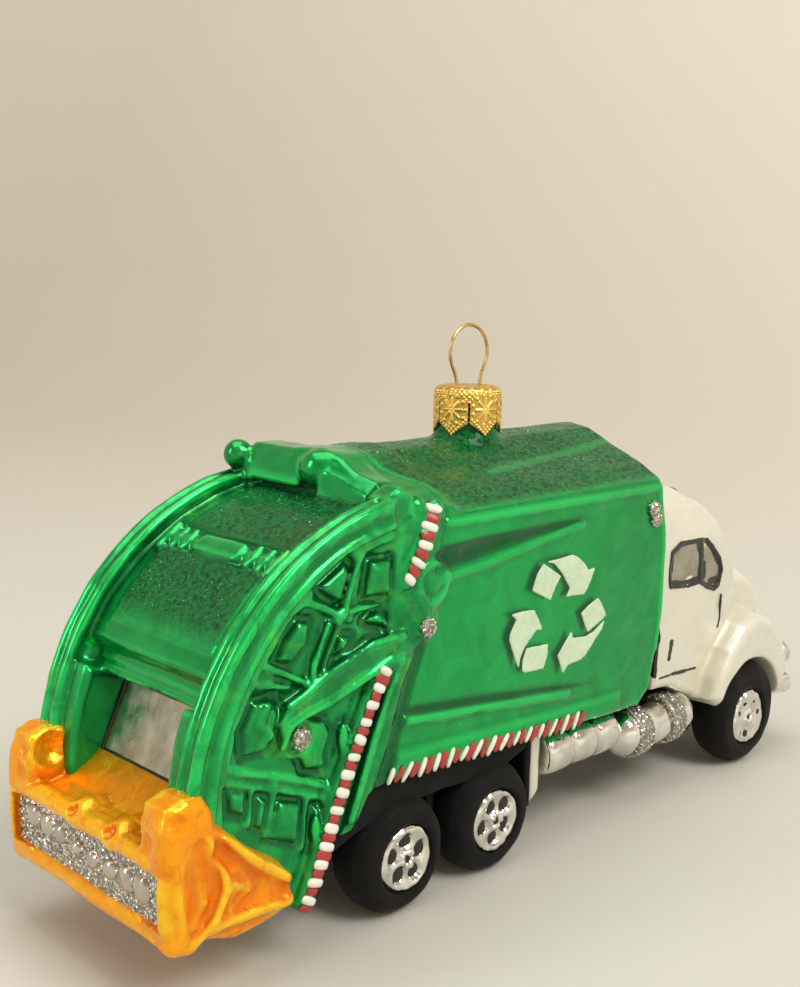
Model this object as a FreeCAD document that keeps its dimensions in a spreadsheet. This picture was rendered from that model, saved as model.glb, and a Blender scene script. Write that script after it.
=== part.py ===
"""Blown-glass tree ornament in the shape of a rear-loading refuse truck.

The glass truck is moulded in one hollow piece.  A crimped metal crown cap sits on its neck,
and a wire loop passes through the cap.  Frame: +X to the front, +Y to the left, +Z up, origin
on the ground under the middle of the truck.  Millimetres throughout.
"""
import FreeCAD, Part
import math
import os
import Sketcher

os.makedirs("parts", exist_ok=True)
doc = FreeCAD.newDocument("TruckOrnament")

# ---------------------------------------------------------------- driving sizes

SIZES = (
    # name, millimetres (angles in degrees), what it sizes
    ("rear_overhang", 38.6, "rearmost axle to the back of the hopper"),
    ("tandem_gap", 2.0, "clear gap between the rear tyre and the middle tyre"),
    ("wheelbase", 64.1, "second rear axle to the front axle"),
    ("front_overhang", 17.4, "front axle to the front of the bumper"),
    ("tyre_diameter", 16.0, "rear tyres"),
    ("tyre_width", 6.8, "all tyres"),
    ("front_tyre_diameter", 18.2, "front tyres"),
    ("hub_share", 0.56, "hub diameter over tyre diameter"),
    ("hub_seat_depth", 1.4, "depth of the seat in a tyre that holds its hub"),
    ("hub_dish", 0.9, "how far a hub is dished"),
    ("chassis_half_width", 10.0, "half the width of the underbody"),
    ("chassis_bottom", 6.0, "height of the underbody's lower face"),
    ("front_beam_half_width", 12.4, "half the width of the front axle beam and the hood"),
    ("deck_gap", 2.0, "rear tyres to the floor of the refuse body"),
    ("body_half_width", 16.8, "half the width of the refuse body"),
    ("body_height", 34.6, "floor of the refuse body to the top of its side"),
    ("roof_rise", 7.9, "top of the body's side to the crown of the roof"),
    ("wall", 1.2, "glass wall of the refuse body"),
    ("tail_lean", 10.4, "how far the tail joint leans forward over the body's height"),
    ("cab_set_back", 24.6, "back of the cab to the front axle"),
    ("cab_reach", 1.4, "front of the cab to the front axle"),
    ("cab_half_width", 15.6, "half the width of the cab"),
    ("cab_height", 33.6, "floor of the body to the cab roof"),
    ("hood_height", 17.6, "floor of the body to the hood at the windscreen"),
    ("bumper_height", 4.4, "bumper, bottom to top"),
    ("bumper_top", 13.4, "height of the bumper's top"),
    ("bumper_half_width", 19.0, "half the width of the bumper"),
    ("bumper_depth", 6.8, "bumper, front to back"),
    ("fender_width", 7.2, "front fender, inside to outside"),
    ("fender_gap", 0.8, "front tyre to its arch"),
    ("rail_radius", 35.8, "outer radius of the curved tail rails"),
    ("rail_set_in", 4.1, "back of the hopper to the rails' rearmost point"),
    ("rail_depth", 3.0, "tail rail, outside to the tailgate"),
    ("rail_width", 4.0, "tail rail, side to side"),
    ("seat_gap", 0.05, "between curved faces that are moulded against each other"),
    ("rail_centre_height", 20.8, "height of the rails' centre"),
    ("tail_half_width", 16.2, "half the width of the tailgate"),
    ("window_half_width", 10.0, "half the width of the rear window"),
    ("window_height", 8.6, "rear window along its slope"),
    ("window_thickness", 0.8, "rear window"),
    ("hopper_bottom", 7.6, "height of the hopper's lower face"),
    ("hopper_length", 19.4, "hopper, front to back"),
    ("hopper_half_width", 18.4, "half the width of the hopper"),
    ("hopper_rim", 19.5, "height of the hopper's rear rim"),
    ("cheek_width", 5.9, "each side cheek of the hopper"),
    ("cheek_top", 26.6, "height of the hopper's cheeks"),
    ("lamp_panel_thickness", 0.6, "plate that holds the rear lamps"),
    ("lamp_panel_half_width", 16.0, "half the width of that plate"),
    ("lamp_panel_bottom", 11.6, "height of the plate's lower edge"),
    ("lamp_panel_height", 6.5, "rear lamp plate, bottom to top"),
    ("lamp_radius", 1.5, "each rear lamp"),
    ("lamp_rise", 0.8, "how far a rear lamp stands out"),
    ("knob_radius", 1.5, "knobs on the hopper's rim"),
    ("bar_radius", 1.6, "cross bar over the tail"),
    ("bar_seat_depth", 0.3, "how deep the cross bar's flat seat is"),
    ("bar_half_length", 15.6, "half the length of the cross bar"),
    ("bar_knob_radius", 2.3, "knobs on the cross bar"),
    ("flap_thickness", 3.7, "mud flap post, front to back"),
    ("flap_width", 4.8, "mud flap post, side to side"),
    ("flap_gap", 0.4, "second tyre to the mud flap post"),
    ("tank_gap", 0.6, "between the flap, the tanks and the fender"),
    ("tank_half_spread", 12.4, "centre line of the truck to each tank's axis"),
    ("air_tank_radius", 4.1, "air tank"),
    ("air_tank_height", 13.3, "height of the air tank's axis"),
    ("fuel_tank_radius", 5.0, "fuel tank"),
    ("fuel_tank_height", 11.5, "height of the fuel tank's axis"),
    ("fuel_tank_length", 20.0, "fuel tank"),
    ("strap_rise", 0.35, "how far tank straps and ribs stand out"),
    ("strap_width", 1.6, "tank straps and ribs"),
    ("relief", 0.5, "height of moulded doors, windows and the skirt"),
    ("arm_relief", 1.0, "height of the packer arm over the tail's side"),
    ("skirt_height", 2.6, "striped skirt along the body's lower edge"),
    ("neck_bore", 3.9, "inside radius of the glass neck"),
    ("neck_wall", 0.65, "glass of the neck"),
    ("neck_height", 7.0, "glass neck over the roof's crown"),
    ("neck_set_forward", 28.0, "rearmost axle to the neck's axis"),
    ("cap_clearance", 0.08, "neck to the inside of the cap"),
    ("cap_wall", 0.4, "sheet metal of the cap"),
    ("cap_skirt", 7.0, "cap, underside of its top to the petals' tips"),
    ("cap_petals", 6.0, "number of petals round the cap"),
    ("petal_slit", 2.2, "height of the notch between two petals"),
    ("wire_radius", 0.28, "hanger wire"),
    ("wire_clearance", 0.06, "wire to its holes in the cap"),
    ("leg_clearance", 1.12, "neck's bore to each leg of the wire"),
    ("loop_bulge", 1.5, "how far the loop's middle stands out past the legs"),
    ("loop_rise", 4.5, "cap's top to the loop's centre"),
    ("leg_depth", 7.0, "cap's top to the ends of the wire's legs"),
)

sheet = doc.addObject("Spreadsheet::Sheet", "Sizes")
for line, (name, number, meaning) in enumerate(SIZES, start=1):
    sheet.set(f"A{line}", meaning)
    sheet.set(f"B{line}", str(number))
    sheet.setAlias(f"B{line}", name)
doc.recompute()


class Size:
    """A number together with the sheet formula that it comes from."""

    def __init__(self, number, text):
        self.number = float(number)
        self.text = text

    def __add__(self, other):
        other = as_size(other)
        return Size(self.number + other.number, f"({self.text} + {other.text})")

    def __sub__(self, other):
        other = as_size(other)
        return Size(self.number - other.number, f"({self.text} - {other.text})")

    def __mul__(self, other):
        other = as_size(other)
        return Size(self.number * other.number, f"({self.text} * {other.text})")

    def __truediv__(self, other):
        other = as_size(other)
        return Size(self.number / other.number, f"({self.text} / {other.text})")

    def __neg__(self):
        return Size(-self.number, f"(-1 * {self.text})")

    __radd__ = __add__
    __rmul__ = __mul__

    def __rsub__(self, other):
        return as_size(other) - self


def as_size(thing):
    """Take a plain number as a Size too."""
    return thing if isinstance(thing, Size) else Size(thing, repr(float(thing)))


def larger(first, second):
    """The larger of two Sizes."""
    return Size(max(first.number, second.number), f"max({first.text}; {second.text})")


class Named:
    """The sheet's cells by name, each as a Size."""

    def __getattr__(self, name):
        return Size(sheet.get(name), f"Sizes.{name}")


S = Named()

# ---------------------------------------------------------------- places worked out from the sizes

axle_pitch = S.tyre_diameter + S.tandem_gap
back_x = -(S.rear_overhang + axle_pitch + S.wheelbase + S.front_overhang) / 2
rear_axle_x = back_x + S.rear_overhang
second_axle_x = rear_axle_x + axle_pitch
front_axle_x = second_axle_x + S.wheelbase
front_x = front_axle_x + S.front_overhang
tyre_radius = S.tyre_diameter / 2
front_tyre_radius = S.front_tyre_diameter / 2
deck_z = S.tyre_diameter + S.deck_gap
body_top_z = deck_z + S.body_height
crown_z = body_top_z + S.roof_rise
joint_low_x = rear_axle_x - 4.0
joint_high_x = joint_low_x + S.tail_lean
cab_back_x = front_axle_x - S.cab_set_back
cab_front_x = front_axle_x - S.cab_reach
bumper_back_x = front_x - S.bumper_depth
neck_x = rear_axle_x + S.neck_set_forward
neck_top_z = crown_z + S.neck_height
neck_radius = S.neck_bore + S.neck_wall
SIDES = (("left", 1), ("right", -1))

# ---------------------------------------------------------------- ways of making a piece


def bind(thing, **values):
    """Bind properties of an object to sizes; Base_x and the like stand for Placement.Base.x."""
    for name, size in values.items():
        path = name.replace("Base_", ".Placement.Base.")
        thing.setExpression(path, as_size(size).text)
    return thing


def polygon_sketch(body, name, plane, points):
    """Draw a closed outline of straight lines, each corner bound to its two sizes."""
    sketch = body.newObject("Sketcher::SketchObject", name)
    support = [one for one in body.Origin.OriginFeatures if one.Role == plane][0]
    sketch.AttachmentSupport = [(support, "")]
    sketch.MapMode = "FlatFace"
    corners = [(as_size(u), as_size(v)) for u, v in points]
    count = len(corners)
    for one in range(count):
        (u0, v0), (u1, v1) = corners[one], corners[(one + 1) % count]
        start = FreeCAD.Vector(u0.number, v0.number, 0)
        end = FreeCAD.Vector(u1.number, v1.number, 0)
        sketch.addGeometry(Part.LineSegment(start, end))
    for one in range(count):
        sketch.addConstraint(Sketcher.Constraint("Coincident", one, 2, (one + 1) % count, 1))
    for one, (u, v) in enumerate(corners):
        for kind, size in (("DistanceX", u), ("DistanceY", v)):
            index = sketch.addConstraint(Sketcher.Constraint(kind, -1, 1, one, 1, size.number))
            sketch.setExpression(f"Constraints[{index}]", size.text)
    return sketch


def side_pad(name, points, y_low, y_high):
    """A piece with the outline (x, z), from y_low to y_high."""
    body = doc.addObject("PartDesign::Body", name)
    sketch = polygon_sketch(body, name + "_outline", "XZ_Plane", points)
    pad = body.newObject("PartDesign::Pad", name + "_pad")
    pad.Profile = sketch
    bind(pad, Length=as_size(y_high) - y_low)
    bind(body, Base_y=y_high)
    return body


def front_pad(name, points, x_low, x_high):
    """A piece with the outline (y, z), from x_low to x_high."""
    body = doc.addObject("PartDesign::Body", name)
    sketch = polygon_sketch(body, name + "_outline", "YZ_Plane", points)
    pad = body.newObject("PartDesign::Pad", name + "_pad")
    pad.Profile = sketch
    bind(pad, Length=as_size(x_high) - x_low)
    bind(body, Base_x=x_low)
    return body


def turned(name, points, x, y, z, side):
    """A piece turned about a cross axle: outline (radius, distance outward from y)."""
    body = doc.addObject("PartDesign::Body", name)
    sketch = polygon_sketch(body, name + "_outline", "XY_Plane", points)
    turn = body.newObject("PartDesign::Revolution", name + "_turn")
    turn.Profile = sketch
    turn.ReferenceAxis = (sketch, ["V_Axis"])
    turn.Angle = 360
    if side < 0:
        body.Placement = FreeCAD.Placement(FreeCAD.Vector(), FreeCAD.Rotation(FreeCAD.Vector(0, 0, 1), 180))
    return bind(body, Base_x=x, Base_y=as_size(y) * side, Base_z=z)


def box(name, low, high):
    """A box between two corners."""
    piece = doc.addObject("Part::Box", name)
    low = [as_size(one) for one in low]
    high = [as_size(one) for one in high]
    bind(piece, Length=high[0] - low[0], Width=high[1] - low[1], Height=high[2] - low[2])
    return bind(piece, Base_x=low[0], Base_y=low[1], Base_z=low[2])


def cylinder(name, radius, length, at, along="Z"):
    """A cylinder from a point along +X, +Y or +Z."""
    turns = {"X": ((0, 1, 0), 90), "Y": ((1, 0, 0), -90), "Z": ((0, 0, 1), 0)}
    axis, angle = turns[along]
    piece = doc.addObject("Part::Cylinder", name)
    piece.Placement = FreeCAD.Placement(FreeCAD.Vector(), FreeCAD.Rotation(FreeCAD.Vector(*axis), angle))
    bind(piece, Radius=radius, Height=length)
    return bind(piece, Base_x=at[0], Base_y=at[1], Base_z=at[2])


def ball(name, radius, at):
    """A sphere about a point."""
    piece = bind(doc.addObject("Part::Sphere", name), Radius=radius)
    return bind(piece, Base_x=at[0], Base_y=at[1], Base_z=at[2])


def cut(name, base, tool):
    """One piece with another taken out of it."""
    piece = doc.addObject("Part::Cut", name)
    piece.Base = base
    piece.Tool = tool
    return piece


def common(name, first, second):
    """What two pieces share."""
    piece = doc.addObject("Part::MultiCommon", name)
    piece.Shapes = [first, second]
    return piece


def fused(name, pieces):
    """Several pieces joined, or gathered where they don't touch."""
    piece = doc.addObject("Part::MultiFuse", name)
    piece.Shapes = list(pieces)
    return piece


nodes = []


def keep(piece, label):
    """Name a finished piece and list it for export."""
    piece.Label = label
    nodes.append(piece)
    return piece


def span(side, near, far):
    """The y range, low then high, of a piece that lies near to far from the centre plane."""
    near, far = as_size(near), as_size(far)
    return (near, far) if side > 0 else (-far, -near)


# ---------------------------------------------------------------- refuse body with its neck


def body_section(inset):
    """Half-round roof on upright sides: outline (y, z), pulled in by the inset."""
    half = S.body_half_width - inset
    floor = deck_z + inset
    eaves = body_top_z - inset * 0.4
    shape = ((1.0, 0.0), (0.774, 0.32), (0.458, 0.58), (0.345, 0.75), (0.0, 1.0))
    right = [(half * -across, eaves + (S.roof_rise - inset * 0.6) * up) for across, up in shape]
    left = [(half * across, eaves + (S.roof_rise - inset * 0.6) * up) for across, up in shape[-2::-1]]
    return [(half, floor), (-half, floor)] + right + left


def body_side(inset):
    """Side view of the refuse body: outline (x, z), open above and below the section."""
    reach = crown_z - deck_z
    lean = S.tail_lean / S.body_height
    low = joint_low_x + inset * 1.04
    return [
        (low, deck_z),
        (cab_back_x - inset, deck_z),
        (cab_back_x - inset, crown_z),
        (low + lean * reach, crown_z),
    ]


def make_refuse_body():
    """Hollow glass box with an arched roof, a leaning tail joint and the neck."""
    outer = common(
        "body_solid",
        front_pad("body_length", body_section(0.0), joint_low_x, cab_back_x),
        side_pad("body_profile", body_side(0.0), -S.body_half_width, S.body_half_width),
    )
    inner = common(
        "body_cavity",
        front_pad("cavity_length", body_section(S.wall), joint_low_x, cab_back_x),
        side_pad("cavity_profile", body_side(S.wall), -S.body_half_width, S.body_half_width),
    )
    sunk = S.wall / 2
    neck = cylinder("neck_tube", neck_radius, S.neck_height + sunk, (neck_x, 0.0, crown_z - sunk))
    foot = cylinder("neck_foot", neck_radius, S.wall * 1.5, (neck_x, 0.0, crown_z - S.wall * 1.5))
    bore = cylinder("neck_hole", S.neck_bore, S.neck_height + S.wall * 3, (neck_x, 0.0, crown_z - S.wall * 2))
    shell = cut("body_shell", fused("body_with_neck", [cut("body_hollow", outer, inner), neck, foot]), bore)
    keep(shell, "refuse_body")


def make_skirts():
    """Raised strip along the lower edge of each side."""
    for side_name, side in SIDES:
        y_low, y_high = span(side, S.body_half_width, S.body_half_width + S.relief)
        lean = S.tail_lean / S.body_height
        outline = [
            (joint_low_x, deck_z),
            (cab_back_x, deck_z),
            (cab_back_x, deck_z + S.skirt_height),
            (joint_low_x + lean * S.skirt_height, deck_z + S.skirt_height),
        ]
        keep(side_pad(f"skirt_{side_name}_body", outline, y_low, y_high), f"body_skirt_{side_name}")


# ---------------------------------------------------------------- tail

rail_centre_x = back_x + S.rail_set_in + S.rail_radius
gate_radius = S.rail_radius - S.rail_depth
hopper_front_x = back_x + S.hopper_length
hopper_back_x = back_x + S.lamp_panel_thickness + S.lamp_rise
SEAM = (
    # run back from the hopper's front, rise over its lower face: the seam of hopper and tailgate
    (0.0, 3.4),
    (1.6, 5.9),
    (5.5, 8.0),
    (7.5, 10.2),
    (10.4, 14.1),
    (13.5, 16.3),
    (15.5, 18.6),
)


def seam_points():
    """Corners of the seam between the hopper and the tailgate, front to back."""
    return [(hopper_front_x - back, S.hopper_bottom + up) for back, up in SEAM]


def make_tailgate():
    """Curved tail with a recess for the rear window, and its two rails."""
    lean = S.tail_lean / S.body_height
    gate_top_z = S.rail_centre_height + gate_radius
    outline = [
        (joint_low_x, deck_z),
        (joint_low_x + lean * (gate_top_z - deck_z), gate_top_z),
        (back_x, gate_top_z),
        (back_x, S.hopper_bottom + SEAM[-1][1]),
    ]
    outline += seam_points()[::-1]
    outline += [(hopper_front_x + 1.4, S.hopper_bottom), (joint_low_x - 7.7, deck_z - 3.6)]
    block = side_pad("gate_profile", outline, -S.tail_half_width, S.tail_half_width)
    width = S.tail_half_width * 2
    drum = cylinder("gate_drum", gate_radius, width, (rail_centre_x, -S.tail_half_width, S.rail_centre_height), "Y")
    lower = box(
        "gate_lower",
        (back_x, -S.tail_half_width, S.hopper_bottom),
        (cab_back_x, S.tail_half_width, S.rail_centre_height),
    )
    gate = common("gate_curved", block, fused("gate_envelope", [drum, lower]))
    keep(cut("gate", gate, window_recess()), "tailgate")


def window_corner():
    """Lower inside corner (x, z) of the rear window on its slope."""
    return hopper_front_x - 8.9, S.hopper_bottom + 16.9


def sloped_box(name, run_in, run_out, low, high, half_width):
    """A box on the rear window's slope: run_in and run_out are measured square to the pane."""
    slope_x, slope_z = 0.433, 0.901
    x, z = window_corner()

    def at(out, up):
        return (x - slope_z * as_size(out) + slope_x * as_size(up), z + slope_x * as_size(out) + slope_z * as_size(up))

    outline = [at(run_in, low), at(run_out, low), at(run_out, high), at(run_in, high)]
    return side_pad(name, outline, -half_width, half_width)


def window_recess():
    """Space behind the rear window, open to the back."""
    return sloped_box("window_recess", 0.0, 12.0, -1.2, S.window_height + 1.2, S.window_half_width + 1.6)


def make_rear_window():
    """Sloping mirror pane in the recess of the tailgate."""
    pane = sloped_box("pane", 0.0, S.window_thickness, 0.0, S.window_height, S.window_half_width)
    keep(pane, "rear_window")


def ahead_of_joint():
    """Everything in front of the leaning joint between the tail and the body."""
    top_z = S.rail_centre_height + S.rail_radius * 1.1
    lean = S.tail_lean / S.body_height
    outline = [
        (joint_low_x, deck_z),
        (cab_back_x, deck_z),
        (cab_back_x, top_z),
        (joint_low_x + lean * (top_z - deck_z), top_z),
    ]
    return side_pad("joint_block", outline, -S.hopper_half_width, S.hopper_half_width)


def make_tail_rails():
    """A curved rail down each side of the tail."""
    sweep = 101.0
    fore = ahead_of_joint()
    for side_name, side in SIDES:
        y_low, y_high = span(side, S.body_half_width - S.rail_width, S.body_half_width)
        rings = []
        for ring_name, radius in (("outer", S.rail_radius), ("inner", gate_radius + S.seat_gap)):
            ring = cylinder(
                f"rail_{side_name}_{ring_name}",
                radius,
                S.rail_width,
                (rail_centre_x, y_low, S.rail_centre_height),
                "Y",
            )
            rings.append(ring)
        rings[0].Angle = sweep
        upright = FreeCAD.Rotation(FreeCAD.Vector(1, 0, 0), -90)
        turn = FreeCAD.Rotation(FreeCAD.Vector(0, 1, 0), 191.0)
        rings[0].Placement = FreeCAD.Placement(FreeCAD.Vector(), turn.multiply(upright))
        bind(rings[0], Base_x=rail_centre_x, Base_y=y_low, Base_z=S.rail_centre_height)
        ring = cut(f"rail_{side_name}_ring", rings[0], rings[1])
        keep(cut(f"rail_{side_name}", ring, fore), f"tail_rail_{side_name}")


def make_packer_arms():
    """Slanted packing arm with a boss at each end, moulded on each side of the tail."""
    for side_name, side in SIDES:
        y_low, y_high = span(side, S.tail_half_width, S.tail_half_width + S.arm_relief)
        top_x, top_z = joint_low_x - 3.5, deck_z + 26.0
        low_x, low_z = hopper_front_x - 2.0, deck_z + 4.0
        outline = [
            (low_x - 1.6, low_z + 1.2),
            (low_x + 1.6, low_z - 1.2),
            (top_x + 1.6, top_z - 1.2),
            (top_x - 1.6, top_z + 1.2),
        ]
        bar = side_pad(f"arm_{side_name}_bar", outline, y_low, y_high)
        length = S.arm_relief
        low_boss = cylinder(f"arm_{side_name}_low", 2.9, length, (low_x, y_low, low_z), "Y")
        top_boss = cylinder(f"arm_{side_name}_top", 2.4, length, (top_x, y_low, top_z), "Y")
        keep(fused(f"arm_{side_name}", [bar, low_boss, top_boss]), f"packer_arm_{side_name}")


def make_cross_bar():
    """Bar with three knobs across the top of the rails."""
    z = S.rail_centre_height + S.rail_radius + S.bar_radius - S.bar_seat_depth
    x = rail_centre_x - 1.0
    bar = cylinder("bar_rod", S.bar_radius, S.bar_half_length * 2, (x, -S.bar_half_length, z), "Y")
    places = (("right", -S.bar_half_length), ("middle", as_size(0.0)), ("left", S.bar_half_length))
    width = S.bar_knob_radius * 1.6
    knobs = [
        cylinder(f"bar_knob_{name}", S.bar_knob_radius, width, (x, y - width / 2, z), "Y")
        for name, y in places
    ]
    reach = S.bar_half_length + width
    flats = box(
        "bar_seat",
        (x - S.bar_knob_radius, -reach, z - S.bar_knob_radius * 1.2),
        (x + S.bar_knob_radius, reach, z - S.bar_radius + S.bar_seat_depth),
    )
    keep(cut("bar", fused("bar_round", [bar] + knobs), flats), "top_cross_bar")


def make_hopper():
    """Loading hopper: a low middle, two high cheeks, lamp plate, lamps and rim knobs."""
    inner = S.hopper_half_width - S.cheek_width
    seam = seam_points()
    lip_x, lip_z = seam[4]
    middle = [(hopper_front_x, S.hopper_bottom)] + seam[:5]
    middle += [(lip_x - 4.4, S.hopper_rim + 1.6), (hopper_back_x, S.hopper_rim)]
    middle += [(hopper_back_x, S.hopper_bottom + 2.6), (hopper_back_x + 2.8, S.hopper_bottom)]
    hopper = keep(side_pad("hopper_middle", middle, -inner, inner), "hopper")
    cheek = [(hopper_front_x, S.hopper_bottom)] + seam
    cheek += [(hopper_back_x + 1.4, S.cheek_top), (hopper_back_x, S.cheek_top - 3.6)]
    cheek += [(hopper_back_x, S.hopper_bottom + 2.6), (hopper_back_x + 2.8, S.hopper_bottom)]
    for side_name, side in SIDES:
        y_low, y_high = span(side, inner, S.hopper_half_width)
        keep(side_pad(f"cheek_{side_name}", cheek, y_low, y_high), f"hopper_cheek_{side_name}")
    return hopper


def make_rear_lamps():
    """Glittered plate across the back of the hopper with eight round lamps."""
    plate_back_x = hopper_back_x - S.lamp_panel_thickness
    plate = box(
        "lamp_plate",
        (plate_back_x, -S.lamp_panel_half_width, S.lamp_panel_bottom),
        (hopper_back_x, S.lamp_panel_half_width, S.lamp_panel_bottom + S.lamp_panel_height),
    )
    keep(plate, "rear_lamp_panel")
    middle_z = S.lamp_panel_bottom + S.lamp_panel_height / 2
    shares = (-0.85, -0.6, -0.35, -0.1, 0.1, 0.35, 0.6, 0.85)
    lamps = []
    for one, share in enumerate(shares):
        y = S.lamp_panel_half_width * share
        lamp = cylinder(f"lamp_{one}", S.lamp_radius, S.lamp_rise, (plate_back_x - S.lamp_rise, y, middle_z), "X")
        lamps.append(lamp)
    keep(fused("lamps", lamps), "rear_lamps")


def make_hopper_knobs(hopper):
    """Two knobs on the hopper's middle rim and one on each cheek."""
    knobs = []
    for side_name, side in SIDES:
        cheek_y = (S.hopper_half_width - S.cheek_width / 2) * side
        places = (
            ("rim", S.hopper_half_width * 0.22 * side, S.hopper_rim),
            ("cheek", cheek_y, S.cheek_top),
        )
        for name, y, z in places:
            x = hopper_back_x + S.knob_radius + 0.2
            knob = cylinder(f"knob_{name}_{side_name}", S.knob_radius, S.knob_radius * 1.4, (x, y, z))
            knobs.append(knob)
    keep(cut("knobs", fused("knobs_whole", knobs), hopper), "hopper_knobs")


# ---------------------------------------------------------------- underbody and wheels


def make_chassis():
    """Dark underbody from the hopper to the bumper, with the front axle beam."""
    half = S.chassis_half_width
    main = box("chassis_main", (hopper_front_x + 8.0, -half, S.chassis_bottom), (bumper_back_x, half, deck_z - 3.6))
    upper = box("chassis_upper", (joint_low_x, -half, deck_z - 3.6), (bumper_back_x, half, deck_z))
    beam_half = S.front_beam_half_width
    beam = box(
        "chassis_beam",
        (front_axle_x - 4.0, -beam_half, S.chassis_bottom),
        (front_axle_x + 4.0, beam_half, deck_z),
    )
    keep(fused("chassis_joined", [main, upper, beam]), "chassis")


def tyre_outline(radius, hub_radius):
    """Half section of a tyre with a seat for its hub: outline (radius, outward)."""
    width = S.tyre_width
    return [
        (0.0, 0.0),
        (radius - 0.6, 0.0),
        (radius, 0.8),
        (radius, width - 1.2),
        (radius - 1.0, width),
        (hub_radius + S.seat_gap, width),
        (hub_radius + S.seat_gap, width - S.hub_seat_depth),
        (0.0, width - S.hub_seat_depth),
    ]


def hub_outline(hub_radius):
    """Half section of a dished hub with a raised boss: outline (radius, outward)."""
    thick = S.hub_seat_depth
    return [
        (0.0, 0.0),
        (hub_radius, 0.0),
        (hub_radius, thick),
        (hub_radius - 0.5, thick),
        (hub_radius - 1.1, thick - S.hub_dish),
        (hub_radius * 0.36, thick - S.hub_dish),
        (hub_radius * 0.30, thick - 0.1),
        (0.0, thick - 0.1),
    ]


def make_wheels():
    """Six tyres, each with its hub."""
    axles = (
        ("rear", rear_axle_x, tyre_radius, S.chassis_half_width),
        ("middle", second_axle_x, tyre_radius, S.chassis_half_width),
        ("front", front_axle_x, front_tyre_radius, S.front_beam_half_width),
    )
    for axle_name, x, radius, inner_y in axles:
        hub_radius = radius * S.hub_share
        for side_name, side in SIDES:
            tag = f"{axle_name}_{side_name}"
            tyre = turned(f"tyre_{tag}_body", tyre_outline(radius, hub_radius), x, inner_y, radius, side)
            keep(tyre, f"tyre_{tag}")
            hub_y = inner_y + S.tyre_width - S.hub_seat_depth
            hub = turned(f"hub_{tag}_body", hub_outline(hub_radius), x, hub_y, radius, side)
            keep(hub, f"hub_{tag}")


def make_side_gear():
    """Mud flap post, air tank and fuel tank on each side of the underbody."""
    flap_x = second_axle_x + tyre_radius + S.flap_gap
    flap_end_x = flap_x + S.flap_thickness
    fuel_end_x = front_axle_x - front_tyre_radius - S.fender_gap - S.tank_gap * 6
    fuel_x = fuel_end_x - S.fuel_tank_length
    air_x = flap_end_x + S.tank_gap
    air_length = fuel_x - S.tank_gap - air_x
    half = S.chassis_half_width
    for side_name, side in SIDES:
        y_low, y_high = span(side, half, half + S.flap_width)
        post = box(f"flap_{side_name}", (flap_x, y_low, S.chassis_bottom), (flap_end_x, y_high, deck_z))
        keep(post, f"mud_flap_{side_name}")
        tanks = (
            ("air_tank", air_x, air_length, S.air_tank_radius, S.air_tank_height, (0.1, 0.5, 0.9)),
            ("fuel_tank", fuel_x, S.fuel_tank_length, S.fuel_tank_radius, S.fuel_tank_height, (0.25, 0.75)),
        )
        for name, x, length, radius, height, straps in tanks:
            tag = f"{name}_{side_name}"
            y = S.tank_half_spread * side
            barrel = [cylinder(f"{tag}_barrel", radius, length, (x, y, height), "X")]
            for one, share in enumerate(straps):
                strap_x = x + length * share - S.strap_width / 2
                strap = cylinder(f"{tag}_strap_{one}", radius + S.strap_rise, S.strap_width, (strap_x, y, height), "X")
                barrel.append(strap)
            inside = box(
                f"{tag}_inside",
                (x - 1.0, -half, 0.0),
                (x + length + 1.0, half, deck_z),
            )
            keep(cut(tag + "_moulded", fused(f"{tag}_whole", barrel), inside), tag)


# ---------------------------------------------------------------- cab

roof_z = deck_z + S.cab_height
hood_z = deck_z + S.hood_height
screen_run = as_size(4.4)
screen_rise = as_size(8.0)
screen_top_x = cab_front_x - screen_run
screen_top_z = hood_z + screen_rise


def make_cab():
    """Upper cab behind the windscreen, its floor raised over the front tyres."""
    arch_top_z = larger(S.front_tyre_diameter + S.fender_gap, deck_z + 0.5)
    outline = [
        (cab_back_x, deck_z),
        (front_axle_x - front_tyre_radius, deck_z),
        (cab_front_x, arch_top_z),
        (cab_front_x, hood_z),
        (screen_top_x, screen_top_z),
        (screen_top_x - 4.0, screen_top_z + 2.7),
        (cab_back_x + 8.4, roof_z - 2.1),
        (cab_back_x + 4.6, roof_z),
        (cab_back_x, roof_z - 1.0),
    ]
    return keep(side_pad("cab_body", outline, -S.cab_half_width, S.cab_half_width), "cab")


def make_hood():
    """Sloping hood in front of the cab, down to the bumper."""
    nose_x = front_x - 1.5
    outline = [
        (cab_front_x, deck_z),
        (cab_front_x, hood_z),
        (cab_front_x + 7.5, hood_z - 2.2),
        (nose_x - 4.4, hood_z - 4.1),
        (nose_x - 1.6, hood_z - 6.6),
        (nose_x, hood_z - 11.1),
        (nose_x, S.bumper_top),
        (bumper_back_x, S.bumper_top),
        (bumper_back_x, deck_z),
    ]
    half = S.front_beam_half_width
    keep(side_pad("hood_body", outline, -half, half), "hood")
    grille = box("grille_plate", (nose_x, -half * 0.7, S.bumper_top + 1.0), (nose_x + 0.6, half * 0.7, hood_z - 11.6))
    keep(grille, "grille")


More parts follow.
